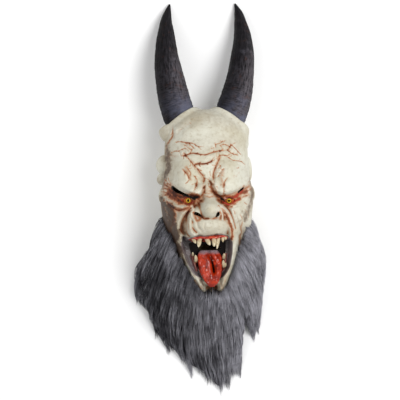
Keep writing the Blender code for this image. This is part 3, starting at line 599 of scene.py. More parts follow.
def add_wrinkles(relief, maps):
    wander = hills(X, Y, 5.0, 3) * 0.35 + hills(X, Y, 2.4, 4) * 0.2
    for points, depth, half_width, stain in WRINKLES + branches():
        curve = curve_points(points)
        area = window(curve, 4 * half_width)
        distance, share, _ = distance_to_curve(X[area], Y[area], curve)
        distance = distance + half_width * wander[area] * 0.6
        ends = smooth_step(share * 8) * smooth_step((1 - share) * 8)
        fade = 0.45 + 0.55 * ends
        groove = np.exp(-(distance / half_width) ** 2)
        shoulder = np.exp(-((np.abs(distance) - 2.3 * half_width) / half_width) ** 2)
        near = np.where(share * (1 - share) > 0, 1.0, groove)
        relief[area] += fade * near * (0.35 * depth * shoulder - depth * groove)
        core = np.exp(-(distance / max(0.85, 0.4 * half_width)) ** 2)
        halo = 0.24 * np.exp(-(distance / (1.5 * half_width)) ** 2)
        line = 0.72 * stain * fade * near * np.maximum(core, halo)
        maps["rust_and_shade"][area] = np.maximum(maps["rust_and_shade"][area], line)
    for points, rise, half_width in RIDGES:
        curve = curve_points(points)
        area = window(curve, 3 * half_width)
        distance, share, _ = distance_to_curve(X[area], Y[area], curve)
        fade = smooth_step(share * 6) * smooth_step((1 - share) * 6)
        relief[area] += rise * fade * np.exp(-(distance / half_width) ** 2)


def add_eye_sockets(relief):
    """Lids that stand up around each eye, and the hollow that the eyeball sits in."""
    for outline, (cx, cy) in zip(EYE_OPENINGS, EYES):
        outline = rounded(outline)
        area = window(outline, 14)
        inside = outline_distance(X[area], Y[area], outline)
        level = relief[area][np.unravel_index(
            np.argmin((X[area] - cx) ** 2 + (Y[area] - cy) ** 2), X[area].shape)]
        lid = level + LID_RISE
        ring = np.exp(-(np.minimum(inside + 1.5, 0) / 4.5) ** 2)
        near = smooth_step(1.6 - np.abs(inside) / 5.0)
        raised = np.maximum(relief[area], relief[area] + (lid - relief[area]) * ring * near)
        hollow = smooth_step((inside + 0.3) / 1.8)
        relief[area] = raised + (level - EYE_HOLLOW - raised) * hollow


def mouth_maps():
    """How open the mouth is at each point, and the height inside it."""
    inside = outline_distance(X, Y, rounded(MOUTH_OUTLINE, 3))
    ragged = inside + 0.7 * hills(X, Y, 7.0, 21)
    open_share = smooth_step(ragged / MOUTH_EDGE_WIDTH + 0.3)
    heights = np.array(MOUTH_FLOOR, dtype=float)[::-1]
    floor = np.interp(Y, heights[:, 0], heights[:, 1])
    floor = floor + 1.2 * hills(X, Y, 9.0, 22) + 0.5 * hills(X, Y, 3.5, 23)
    for points, width, _ in GUMS:
        curve = curve_points(points)
        distance, share, _ = distance_to_curve(X, Y, curve)
        distance = distance + 1.0 * hills(X, Y, 5.0, 24)
        top = value_along(share, curve, 2)
        floor = smooth_max(floor, top - FOLD_DROP * (distance / width) ** 2, 3.0)
    return inside, open_share, floor


def paint(maps):
    """Lay the brushed stain and the painted shade on the maps."""
    edge = 0.3 * hills(X, Y, 5.2, 33) + 0.22 * hills(X, Y, 2.8, 31) + 0.16 * hills(X, Y, 1.7, 32)
    for name, points, half_width, strength in STROKES:
        curve = curve_points(points)
        area = window(curve, 3 * half_width)
        distance, _, _ = distance_to_curve(X[area], Y[area], curve)
        spread = np.exp(-np.maximum(distance / half_width + edge[area], 0) ** 2)
        maps[name][area] = np.maximum(maps[name][area], strength * spread)


def face_maps():
    """Relief, paint and painted shade over the whole face."""
    maps = {name: np.zeros(X.shape) for name in ("rust_and_shade", "red", "dark", "mauve", "gum", "brown_shade")}
    relief = base_forms()
    add_eye_sockets(relief)
    add_wrinkles(relief, maps)
    relief += 0.5 * hills(X, Y, 11.0, 1) + 0.25 * hills(X, Y, 4.0, 2)
    middle, start, reach, depth = CHIN_NOTCH
    relief -= depth * smooth_step((start - Y) / 8) * smooth_step((reach - np.abs(X - middle)) / 6)
    inside, open_share, floor = mouth_maps()
    whole = relief + (floor - PLAIN_FACE_HEIGHT - relief) * open_share
    # Hollows of the relief: rust wash and painted shade gather in them.
    hollow = np.clip((blurred(whole, 2.0) - whole) * 0.45 - 0.06, 0, 1)
    broad = np.clip((blurred(whole, 6.0) - whole) * 0.14 - 0.04, 0, 1)
    skin = smooth_step(-inside / 2.5)
    # Painted brown shade: darker towards the bottom and the left side, and in broad hollows of the
    # skin.
    maps["brown_shade"] = smooth_step((60 - Y) / 160.0) * 0.3 + smooth_step((-X - 30) / 70.0) * 0.35
    maps["brown_shade"] += np.clip((blurred(whole, 9.0) - whole) * 0.07, 0, 0.5) * skin
    maps["rust_and_shade"] = np.clip(maps["rust_and_shade"] + skin * (0.3 * hollow + 0.35 * broad), 0, 1)
    paint(maps)
    maps["brown_shade"] = np.minimum(maps["brown_shade"], 1.05)
    for cx, cy, half_width, half_height, share in WIPED:
        spot = np.exp(-((X - cx) / half_width) ** 2 - ((Y - cy) / half_height) ** 2)
        maps["rust_and_shade"] *= 1 - share * spot
    band = smooth_step((inside + 0.8 + 3.7 * smooth_step(-(Y + 84) / 8.0)) / 3.0)
    wall = 7.0 + 6.0 * smooth_step((-X - 30) / 20)
    deep = smooth_step((inside - wall) / 5.0)
    maps["mauve"] = band * (1 - deep)
    shade = 0.55 * smooth_step((Y + 124) / 24) * smooth_step((inside - 0.6) / 2.4)
    maps["dark"] = np.maximum(maps["dark"], np.maximum(deep, shade))
    gum = np.zeros(X.shape)
    for points, width, redness in GUMS:
        distance, share, _ = distance_to_curve(X, Y, curve_points(points))
        ends = smooth_step(0.3 + share * 7) * smooth_step(0.3 + (1 - share) * 7)
        near = smooth_step(1.9 - distance / width + 0.3 * hills(X, Y, 4.0, 27))
        gum = np.maximum(gum, redness * near * ends)
    maps["gum"] = gum * smooth_step((inside - 1.8) / 2.2)
    maps["dark"] *= 1 - 0.9 * maps["gum"]
    return relief, open_share, floor, maps


# The shell's mesh

def profile_rows(front_y):
    curve = curve_points(HEAD_PROFILE, 8)[::-1]
    return np.stack([np.interp(front_y, curve[:, 0], curve[:, k]) for k in range(5)], axis=1)


def head_grid(front_y, angles, offset):
    """Points of the plain head, moved out by offset (in, if it is negative)."""
    rows = profile_rows(np.asarray(front_y, dtype=float))
    power = 2.0 / SECTION_POWER
    cos = np.cos(angles)[None, :]
    sin = np.sin(angles)[None, :]
    half_width = np.maximum(rows[:, 2] + offset, 1.0)[:, None]
    front = np.maximum(rows[:, 3] + offset, 1.0)[:, None]
    back = np.maximum(rows[:, 4] + offset, 1.0)[:, None]
    x = half_width * signed_power(sin, power)
    z = HEAD_AXIS_HEIGHT + np.where(cos > 0, front, back) * signed_power(cos, power)
    y = rows[:, 1][:, None] + (rows[:, 0] - rows[:, 1])[:, None] * (1 + cos) / 2
    y = y + offset * smooth_step((y - 120) / 70)
    return x, y, np.maximum(z, -offset), cos + 0 * x


def horn_curve(horn):
    return curve_points(horn, 6)


def collar_push(x, y, z):
    """How far the raised rings around the horns stand out at each point."""
    push = np.zeros(x.shape)
    for horn in (HORN_LEFT, HORN_RIGHT):
        nearest = np.full(x.shape, 1e9)
        for px, py, pz, _ in horn_curve(horn)[:18]:
            nearest = np.minimum(nearest, np.sqrt((x - px) ** 2 + (y - py) ** 2 + (z - pz) ** 2))
        from_horn = (nearest - HORN_BASE_RADIUS - 3.0) / COLLAR_WIDTH
        push = np.maximum(push, COLLAR_RISE * np.exp(-from_horn ** 2))
    return push * smooth_step((y - 110) / 40)


def ear_push(x, y, z):
    """How far the ears and the lumps of the collar stand out sideways."""
    push = np.zeros(x.shape)
    for side, middle, rise, along, thick in LUMPS:
        reach = ((y - middle) / along) ** 2 + ((z - LUMP_HEIGHT) / thick) ** 2
        lump = rise * np.clip(1 - reach, 0, 1) ** 0.6 * (x * side > 0)
        push = np.where(lump > np.abs(push), side * lump, push)
    return push


def head_surface(front_y, angles, face, offset=0.0):
    """Grid of finished points, of the outside or of the inside (a negative offset)."""
    relief, open_share, floor = face
    x, y, z, cos = head_grid(front_y, angles, offset)
    share = read_map(open_share, x, y)
    height = read_map(relief, x, y)
    depth = read_map(floor, x, y) + offset
    rise = height + (depth - z - height) * share
    z = z + rise * smooth_step(cos / 0.25)
    if offset >= 0:
        push = collar_push(x, y, z)
        outward = np.stack([x, y - 90.0, z - HEAD_AXIS_HEIGHT], axis=-1)
        outward = outward / np.linalg.norm(outward, axis=-1, keepdims=True)
        x = x + outward[..., 0] * push + ear_push(x, y, z)
        y = y + outward[..., 1] * push
        z = z + outward[..., 2] * push
    return np.stack([x, y, z], axis=-1)


ROW_STEP = 1.22
NECK_ROW_STEP = 1.8
COLUMN_STEP = 1.25
SIDE_STEP = 0.022           # angle between two columns at the side
BACK_COLUMNS = 32


def shell_angles():
    """Column angles: close together over the face, wider apart at the back."""
    front = [math.asin((x / 97.0) ** (SECTION_POWER / 2))
             for x in np.arange(COLUMN_STEP, 84, COLUMN_STEP)]
    side = list(np.arange(front[-1] + SIDE_STEP, 1.75, SIDE_STEP))
    half = front + side
    back = np.linspace(half[-1], 2 * math.pi - half[-1], BACK_COLUMNS + 2)[1:-1]
    return np.array([0.0] + half + list(back) + [2 * math.pi - a for a in reversed(half)])


def shell_rows():
    """Front y of each ring, close together over the face."""
    crown = [199.6, 198.8, 197.6, 196.2, 194.6, 192.8]
    face = list(np.arange(191.2, -200.0, -ROW_STEP))
    neck = list(np.arange(face[-1] - NECK_ROW_STEP, NECK_RIM, -NECK_ROW_STEP)) + [NECK_RIM]
    return np.array(crown + face + neck)


def slit_outline(points, half_width):
    """Lens-shaped outline along a bent line."""
    curve = curve_points(points, 5)
    way = np.gradient(curve, axis=0)
    way = way / np.linalg.norm(way, axis=1, keepdims=True)
    normal = np.stack([-way[:, 1], way[:, 0]], axis=1)
    share = np.linspace(0, 1, len(curve))
    swell = half_width * np.sqrt(np.clip(4 * share * (1 - share), 0.03, 1))
    swell = (swell * (1.3 - 0.9 * share))[:, None]
    outline = np.concatenate([curve + normal * swell, (curve - normal * swell)[::-1]])
    return [tuple(p) for p in outline]


def ellipse(cx, cy, rx, ry, turn=0, count=30):
    c, s = math.cos(math.radians(turn)), math.sin(math.radians(turn))
    result = []
    for i in range(count):
        u = rx * math.cos(2 * math.pi * i / count)
        v = ry * math.sin(2 * math.pi * i / count)
        result.append((cx + u * c - v * s, cy + u * s + v * c))
    return result


def add_grid(bm, points, flip, slot):
    rings = [[bm.verts.new(p * MM) for p in row] for row in points]
    count = len(rings[0])
    for upper, lower in zip(rings[:-1], rings[1:]):
        for i in range(count):
            j = (i + 1) % count
            quad = (upper[i], lower[i], lower[j], upper[j])
            bm.faces.new(quad[::-1] if flip else quad).material_index = slot
    return rings


def add_fan(bm, ring, centre, flip, slot):
    middle = bm.verts.new(Vector(centre) * MM)
    for i, vert in enumerate(ring):
        pair = (vert, ring[(i + 1) % len(ring)])
        face = bm.faces.new((middle,) + (pair[::-1] if flip else pair))
        face.material_index = slot


def join_rims(bm, first, second):
    """Close the gap between two rings with different numbers of points."""
    i = j = 0
    count, other = len(first), len(second)
    while i < count or j < other:
        a, b = first[i % count], second[j % other]
        if j >= other or (i < count and (i + 1) / count <= (j + 1) / other):
            bm.faces.new((b, a, first[(i + 1) % count]))
            i += 1
        else:
            bm.faces.new((second[(j + 1) % other], b, a))
            j += 1


def finish_mesh(name, bm, recalculate=True):
    if recalculate:
        bmesh.ops.recalc_face_normals(bm, faces=bm.faces)
    for face in bm.faces:
        face.smooth = True
    mesh = bpy.data.meshes.new(name)
    bm.to_mesh(mesh)
    bm.free()
    obj = bpy.data.objects.new(name, mesh)
    bpy.context.scene.collection.objects.link(obj)
    return obj


def make_cutters():
    bm = bmesh.new()
    blocks = [(slit_outline(points, half), 140, 270) for points, half in EYE_SLITS]
    blocks += [(ellipse(x, y, rx, ry, turn), 195, 270) for x, y, rx, ry, turn in NOSTRILS]
    blocks.append((ellipse(*THROAT, count=48), 120, 210))
    for outline, low, high in blocks:
        bottom = [bm.verts.new(Vector((x, y, low)) * MM) for x, y in outline]
        top = [bm.verts.new(Vector((x, y, high)) * MM) for x, y in outline]
        bm.faces.new(bottom[::-1])
        bm.faces.new(top)
        for i in range(len(outline)):
            j = (i + 1) % len(outline)
            bm.faces.new((bottom[i], bottom[j], top[j], top[i]))
    return finish_mesh("cutters", bm)


def make_shell():
    relief, open_share, floor, maps = face_maps()
    angles, rows = shell_angles(), shell_rows()
    outer = head_surface(rows, angles, (relief, open_share, floor))
    inner_face = (lowest(relief, INNER_REACH) - 0.5,
                  np.clip(-lowest(-open_share, INNER_REACH), 0, 1),
                  lowest(floor, INNER_REACH) - 0.5)
    inner = head_surface(rows[8::4], angles[::3], inner_face, -WALL)
    bm = bmesh.new()
    outside = add_grid(bm, outer, False, 0)
    inside = add_grid(bm, inner, True, 1)
    add_fan(bm, outside[0], (0, 200, HEAD_AXIS_HEIGHT), False, 0)
    add_fan(bm, inside[0], (0, 200 - WALL, HEAD_AXIS_HEIGHT), True, 1)
    join_rims(bm, outside[-1], inside[-1])
    shell = finish_mesh("latex_head", bm)
    shell.data.materials.append(latex_finish())
    shell.data.materials.append(lining_finish())
    cutters = make_cutters()
    cut = shell.modifiers.new("holes", "BOOLEAN")
    cut.operation = "DIFFERENCE"
    cut.solver = "MANIFOLD"
    cut.object = cutters
    select_only(shell)
    bpy.ops.object.modifier_apply(modifier=cut.name)
    bpy.data.objects.remove(cutters, do_unlink=True)
    write_paint(shell, maps)
    return shell


def write_paint(obj, maps):
    """Store the maps on the mesh as two vectors for its finish."""
    mesh = obj.data
    place = np.empty(len(mesh.vertices) * 3)
    mesh.vertices.foreach_get("co", place)
    x, y, z = (place.reshape(-1, 3) / MM).T
    front = smooth_step((z - PAINT_START) / PAINT_FADE)
    soft = smooth_step((z - BROWN_SHADE_START) / BROWN_SHADE_FADE)
    # The stain vector holds rust with painted shade, red paint, and black paint with painted
    # shade; the flesh vector holds mauve, gum and painted brown shade.
    for name, keys in (("stain", ("rust_and_shade", "red", "dark")), ("flesh_and_shade", ("mauve", "gum", "brown_shade"))):
        data = np.stack([read_map(maps[key], x, y) * (soft if key == "brown_shade" else front)
                         for key in keys], axis=1)
        layer = mesh.attributes.new(name, "FLOAT_VECTOR", "POINT")
        layer.data.foreach_set("vector", data.ravel().astype(np.float32))


def select_only(obj):
    bpy.ops.object.select_all(action="DESELECT")
    obj.select_set(True)
    bpy.context.view_layer.objects.active = obj


# Finishes

def srgb(red, green, blue):
    """A colour given as it looks on a screen, 0 to 255."""
    channels = []
    for value in (red, green, blue):
        value /= 255.0
        channels.append(value / 12.92 if value <= 0.04045 else ((value + 0.055) / 1.055) ** 2.4)
    return (*channels, 1.0)


class Value:
    """A socket of a finish, so that its maths is written as an expression."""

    def __init__(self, finish, socket):
        self.finish = finish
        self.socket = socket

    def math(self, operation, first, second):
        return self.finish.node("ShaderNodeMath", {"operation": operation}, {0: first, 1: second})

    def __add__(self, other):
        return self.math("ADD", self, other)

    def __sub__(self, other):
        return self.math("SUBTRACT", self, other)

    def __rsub__(self, other):
        return self.math("SUBTRACT", other, self)

    def __mul__(self, other):
        return self.math("MULTIPLY", self, other)

    __radd__ = __add__
    __rmul__ = __mul__

    def most(self, other):
        return self.math("MAXIMUM", self, other)

    def between(self, low, high):
        """0 below low, 1 above high, and smooth between them."""
        return self.finish.node("ShaderNodeMapRange", {"interpolation_type": "SMOOTHSTEP"},
                                {"Value": self, "From Min": low, "From Max": high})


class Finish:
    """A material and the nodes that are added to it."""

    def __init__(self, name, **constants):
        self.material = bpy.data.materials.new(name)
        self.material.use_nodes = True
        self.tree = self.material.node_tree
        self.shader = self.tree.nodes["Principled BSDF"]
        for key, value in constants.items():
            self.shader.inputs[key.replace("_", " ")].default_value = value

    def node(self, kind, settings, values, out=0):
        node = self.tree.nodes.new(kind)
        for key, value in settings.items():
            setattr(node, key, value)
        for key, value in values.items():
            if isinstance(value, Value):
                self.tree.links.new(value.socket, node.inputs[key])
            else:
                node.inputs[key].default_value = value
        return Value(self, node.outputs[out])

    def give(self, socket, value):
        self.tree.links.new(value.socket, self.shader.inputs[socket])

    def place(self):
        return self.node("ShaderNodeTexCoord", {}, {}, "Object")

    def noise(self, scale, detail=3.0, roughness=0.55, at=None):
        return self.node("ShaderNodeTexNoise", {}, {
            "Vector": at or self.place(), "Scale": scale, "Detail": detail,
            "Roughness": roughness})

    def stretched(self, scale, at=None):
        return self.node("ShaderNodeMapping", {}, {"Vector": at or self.place(), "Scale": scale})

    def mix(self, share, first, second, blend="MIX"):
        return self.node("ShaderNodeMix", {"data_type": "RGBA", "blend_type": blend},
                         {0: share, 6: first, 7: second}, 2)

    def stored(self, name, out="Vector"):
        """What is stored on the mesh under this name."""
        return self.node("ShaderNodeAttribute", {"attribute_name": name}, {}, out)

    def split(self, vector):
        return [self.node("ShaderNodeSeparateXYZ", {}, {0: vector}, k) for k in range(3)]

    def parts(self, name):
        """The three values of a vector stored on the mesh."""
        return self.split(self.stored(name))

    def bump(self, height, distance, strength=1.0):
        self.give("Normal", self.node("ShaderNodeBump", {}, {
            "Height": height, "Distance": distance, "Strength": strength}))


def latex_finish():
    """Painted latex: ivory with brushed rust and painted shade in its hollows, painted brown shade
    down its left side, black painted shade at slits, corners and nostrils, red lids, mauve lips,
    wet gums.
    """
    f = Finish("painted_latex", Coat_Roughness=0.2, Specular_IOR_Level=0.25)
    rust_and_shade, red, dark = f.parts("stain")
    mauve, gum, brown_shade = f.parts("flesh_and_shade")
    clouds = f.noise(18, 4)
    fine = f.noise(160, 4, 0.6)
    specks = f.noise(420, 2, 0.6)
    mottle = f.noise(130, 5, 0.65)
    colour = f.mix(clouds.between(0.35, 0.68), srgb(207, 205, 190), srgb(191, 185, 164))
    colour = f.mix(mottle.between(0.45, 0.75) * 0.35, colour, srgb(152, 140, 112))
    colour = f.mix(mottle.between(0.6, 0.75) * 0.25, colour, srgb(150, 112, 80))
    colour = f.mix(specks.between(0.64, 0.72) * 0.2, colour, srgb(140, 98, 72))
    # Painted brown shade, broken up by the mottle and the clouds.
    tone = brown_shade * (0.9 * mottle + 1.1 * clouds)
    colour = f.mix(tone.between(0.0, 0.95) * 0.9, colour, srgb(132, 108, 82))
    brush = rust_and_shade * (0.5 + 1.0 * fine)
    colour = f.mix(brush.between(0.06, 0.46) * 0.8, colour, srgb(172, 108, 62))
    colour = f.mix(brush.between(0.3, 0.72) * 0.92, colour, srgb(120, 54, 24))
    colour = f.mix(brush.between(0.62, 1.0) * 0.9, colour, srgb(52, 19, 10))
    colour = f.mix(tone.between(0.4, 1.1) * 0.85, colour, srgb(52, 34, 27))
    colour = f.mix((red * (0.4 + 1.2 * fine)).between(0.25, 0.85) * 0.85, colour,
                   srgb(160, 44, 28))
    colour = f.mix((mauve * (0.75 + 0.5 * fine)).between(0.3, 0.7) * 0.9, colour,
                   f.mix(clouds.between(0.35, 0.6), srgb(120, 110, 114), srgb(68, 52, 54)))
    # Black paint deep in the mouth, and painted shade in the mouth's upper wall, the eye slits,
    # the eyes' corners and around the nostrils.
    colour = f.mix(dark.between(0.2, 0.75), colour, srgb(14, 9, 8))
    colour = f.mix(gum.between(0.3, 0.6), colour,
                   f.mix(f.noise(90, 3).between(0.4, 0.62), srgb(158, 34, 14), srgb(190, 66, 34)))
    f.give("Base Color", colour)
    wet = gum.between(0.4, 0.7).most(mauve.between(0.4, 0.9) * 0.3)
    f.give("Coat Weight", wet)
    f.give("Roughness", 0.52 + 0.12 * fine - 0.22 * wet + 0.1 * rust_and_shade + 0.3 * dark)
    pores = f.node("ShaderNodeTexVoronoi", {}, {"Vector": f.place(), "Scale": 420.0}, "Distance")
    f.bump(0.4 * pores + 1.2 * fine + 0.4 * specks + 1.4 * mottle, 0.0006, 0.8)
    return f.material


def lining_finish():
    """Bare latex inside the mask."""
    f = Finish("bare_latex", Roughness=0.6)
    f.give("Base Color", f.mix(f.noise(25, 4), srgb(206, 188, 150), srgb(176, 152, 112)))
    f.bump(f.noise(300, 3), 0.0004, 0.5)
    return f.material


def horn_finish():
    """Charcoal horn: blue-grey at its base, near black at its tip, cracked across, with wear and a
    painted highlight on its right flank, and painted shade down its left flank, its right rim and
    underneath.
    """
    f = Finish("charcoal_horn", Specular_IOR_Level=0.08)
    along = f.stored("grain")
    flank, length, top = f.split(along)
    across = f.stretched((0.6, 3.0, 0.6), along)
    rings = f.noise(3.2, 5, 0.7, across)
    streaks = f.noise(2.0, 5, 0.65, f.stretched((5.0, 0.5, 5.0), along))
    patches = f.noise(26, 5, 0.65)
    ringed = length.between(9.0, 3.0)
    pattern = streaks + (rings - streaks) * ringed
    base = f.mix(pattern.between(0.36, 0.64), srgb(12, 11, 13), srgb(84, 80, 87))
    tip = f.mix(pattern.between(0.36, 0.64), srgb(7, 6, 8), srgb(44, 41, 46))
    colour = f.mix(length.between(3.0, 11.0), base, tip)
    colour = f.mix(patches.between(0.55, 0.72) * 0.55, colour, srgb(96, 95, 104))
    colour = f.mix(patches.between(0.46, 0.3) * 0.5, colour, srgb(12, 11, 13))
    # Wear and painted highlight: lighter streaks on the right flank of the base half.
    wear_and_highlight = flank.between(-0.2, 0.6) * length.between(12.0, 6.0) * streaks.between(0.35, 0.6)
    colour = f.mix(wear_and_highlight * 0.4, colour, srgb(112, 106, 110))
    colour = f.mix(f.noise(70, 4).between(0.56, 0.7) * 0.45, colour, srgb(78, 52, 44))
    cracks = f.noise(7.0, 6, 0.75, across).between(0.6, 0.7) * length.between(8.0, 2.0)
    colour = f.mix(cracks * 0.45, colour, srgb(116, 108, 108))
    near_base = length.between(5.5, 2.5) * patches.between(0.38, 0.6)
    colour = f.mix(near_base * 0.6, colour, srgb(104, 108, 130))
    # Painted shade: near black down the left flank, along the right rim and underneath.
    edge = (flank.between(0.55, -0.75) * 0.72).most(flank.between(0.85, 1.0) * 0.4)
    colour = f.mix(edge.most(top.between(0.2, -0.5) * 0.5), colour, srgb(6, 5, 7))
    f.give("Base Color", colour)
    f.give("Roughness", 0.42 + 0.3 * pattern)
    f.bump(pattern + 0.4 * patches, 0.003, 0.9)
    return f.material


def hair_finish(name, dark, light):
    """Slate grey hair: each strand has its own tone, it darkens in clumps and at the roots, and
    painted light makes it lighter to the right and darker to the left and towards the beard's end.
    """
    f = Finish(name, Roughness=0.75, Specular_IOR_Level=0.18)
    tone, along, side = f.parts("hair")
    clumps = f.noise(15, 4, 0.6)
    # The third stored value is painted light: lighter to the right, darker to the left and towards
    # the beard's end.
    shade = 0.64 * tone + 0.4 * side + 0.95 * (clumps - 0.46)
    colour = f.mix(shade.between(0.05, 1.2), dark, light)
    colour = f.mix((1 - along).between(0.6, 1.0) * 0.5, colour, srgb(30, 28, 33))
    f.give("Base Color", colour)
    return f.material


def pelt_finish():
    f = Finish("fur_backing", Roughness=0.9, Specular_IOR_Level=0.15)
    f.give("Base Color", f.mix(f.noise(120, 4), srgb(38, 37, 42), srgb(66, 64, 70)))
    f.bump(f.noise(260, 4), 0.002, 0.8)
    return f.material


def tongue_finish():
    f = Finish("wet_tongue", Coat_Roughness=0.06, Coat_IOR=1.55, Specular_IOR_Level=0.05)
    crease = f.stored("crease", "Fac")
    streaks = f.noise(1.0, 4, 0.6, f.stretched((220, 60, 220)))
    blotch = f.noise(75, 4)
    back = f.node("ShaderNodeSeparateXYZ", {}, {0: f.place()}, 1) + 0.012 * blotch
    colour = f.mix(blotch.between(0.35, 0.65), srgb(128, 24, 4), srgb(180, 48, 9))
    colour = f.mix(streaks.between(0.46, 0.32) * 0.8, colour, srgb(50, 8, 4))
    # Painted wet sheen: grey over the tongue's back end.
    colour = f.mix(back.between(-0.112, -0.103) * 0.9, colour, srgb(136, 126, 132))
    # Painted shade: near black down the deep part of the cleft.
    colour = f.mix(crease.between(0.2, 0.9), colour, srgb(24, 6, 4))
    f.give("Base Color", colour)
    f.give("Coat Weight", 0.7 * (1 - crease))
    f.give("Roughness", 0.45 + 0.3 * blotch + 0.2 * crease)
    pits = f.noise(420, 3, 0.6)
    f.bump(1.2 * streaks + 0.8 * blotch + 0.6 * pits, 0.0016, 0.9)
    return f.material


def tooth_finish():
    f = Finish("aged_tooth", Coat_Weight=0.4, Coat_Roughness=0.15)
    root = f.stored("root", "Fac")
    streaks = f.noise(1.0, 4, 0.6, f.stretched((500, 120, 500)))
    colour = f.mix(streaks.between(0.35, 0.7), srgb(206, 196, 166), srgb(164, 140, 100))
    colour = f.mix((root * (0.6 + 0.8 * streaks)).between(0.25, 0.85), colour, srgb(112, 58, 32))
    f.give("Base Color", colour)
    f.give("Roughness", 0.28 + 0.2 * streaks)
    f.bump(streaks, 0.0004, 0.5)
    return f.material


def eye_finish(name, centre, stretch):
    """Yellow iris with a small dark pupil, narrower one way, in a bloodshot ball."""
    f = Finish(name, Coat_Weight=0.02, Coat_Roughness=0.1, Roughness=0.6, Specular_IOR_Level=0.04)
    x, y, z = centre
    at = f.node("ShaderNodeVectorMath", {"operation": "SUBTRACT"},
                {0: f.place(), 1: (x * MM, y * MM, z * MM)})
    flat = f.node("ShaderNodeVectorMath", {"operation": "MULTIPLY"}, {0: at, 1: (1, 1, 0)})
    radius = f.node("ShaderNodeVectorMath", {"operation": "LENGTH"}, {0: flat}, "Value")
    rays = f.noise(900, 2)
    veins = f.noise(260, 4, 0.7)
    colour = f.mix(veins.between(0.42, 0.6), srgb(176, 96, 52), srgb(116, 30, 16))
    iris = f.mix(rays.between(0.35, 0.65), srgb(214, 186, 66), srgb(158, 116, 30))
    colour = f.mix(radius.between(0.0058, 0.0050), colour, srgb(70, 30, 14))
    colour = f.mix(radius.between(0.0051, 0.0044), colour, iris)
    colour = f.mix(radius.between(0.0034, 0.0026) * 0.6, colour, srgb(120, 70, 20))
    tall = f.node("ShaderNodeVectorMath", {"operation": "MULTIPLY"}, {0: flat, 1: stretch})
    pupil = f.node("ShaderNodeVectorMath", {"operation": "LENGTH"}, {0: tall}, "Value")
    colour = f.mix(pupil.between(0.0031, 0.0023), colour, srgb(8, 6, 5))
    f.give("Base Color", colour)
    return f.material


# Glued-on pieces

def surface_height(tree, x, y, missing):
    hit, _, _, _ = tree.ray_cast(Vector((x, y, 400)) * MM, Vector((0, 0, -1)))
    return hit.z / MM if hit else missing


def tree_of(obj):
    bpy.context.view_layer.update()
    return BVHTree.FromObject(obj, bpy.context.evaluated_depsgraph_get())


def spaced(curve, count):
    """The curve's values at this many even steps."""
    share = np.linspace(0, 1, count)
    return np.stack([value_along(share, curve, k) for k in range(curve.shape[1])], axis=1)


def close_tube(bm, rings):
    """Faces around a stack of rings, with a cap at each end."""
    count = len(rings[0])
    for lower, upper in zip(rings[:-1], rings[1:]):
        for k in range(count):
            j = (k + 1) % count
            bm.faces.new((lower[k], lower[j], upper[j], upper[k]))
    bm.faces.new(rings[0][::-1])
    bm.faces.new(rings[-1])


def make_horn(name, horn, seed):
    """A tapered, bent horn with cracks across it and shallow grooves along it."""
    rings, sides = 190, 56
    rows = spaced(horn_curve(horn), rings)
    centres, radii = rows[:, :3], rows[:, 3]
    way = np.gradient(centres, axis=0)
    way /= np.linalg.norm(way, axis=1, keepdims=True)
    across = np.cross(way, (0.0, 0.0, 1.0))
    across /= np.linalg.norm(across, axis=1, keepdims=True)
    up = np.cross(across, way)
    angle = np.linspace(0, 2 * math.pi, sides, endpoint=False)
    length = np.concatenate([[0], np.cumsum(np.linalg.norm(np.diff(centres, axis=0), axis=1))])
    a, l = np.meshgrid(angle, length)
    wrap = np.abs(a - math.pi)
    rough = 0.5 * hills(wrap * 14, l, 2.6, seed) + 0.45 * hills(wrap * 22, l, 5.5, seed + 1)
    rough *= 1.3 - 1.1 * smooth_step((l - 70) / 130)
    rough += 0.5 * hills(wrap * 30, l * 0.12, 4.0, seed + 2)
    rough += 0.5 * hills(wrap * 6, l, 14.0, seed + 3)
    size = radii[:, None] * (0.985 + 0 * a) + (rough - 0.6) * smooth_step(radii / 14)[:, None]
    size = np.maximum(size, 0.6)
    points = (centres[:, None, :] + size[..., None] * (np.cos(a)[..., None] * across[:, None, :]
              + np.sin(a)[..., None] * up[:, None, :]))
    bm = bmesh.new()
    grain = bm.verts.layers.float_vector.new("grain")
    grid = []
    for i in range(rings):
        ring = []
        for k in range(sides):
            vert = bm.verts.new(points[i, k] * MM)
            vert[grain] = (math.cos(angle[k]), length[i] / 20.0, math.sin(angle[k]))
            ring.append(vert)
        grid.append(ring)
    close_tube(bm, grid)
    return finish_mesh(name, bm)


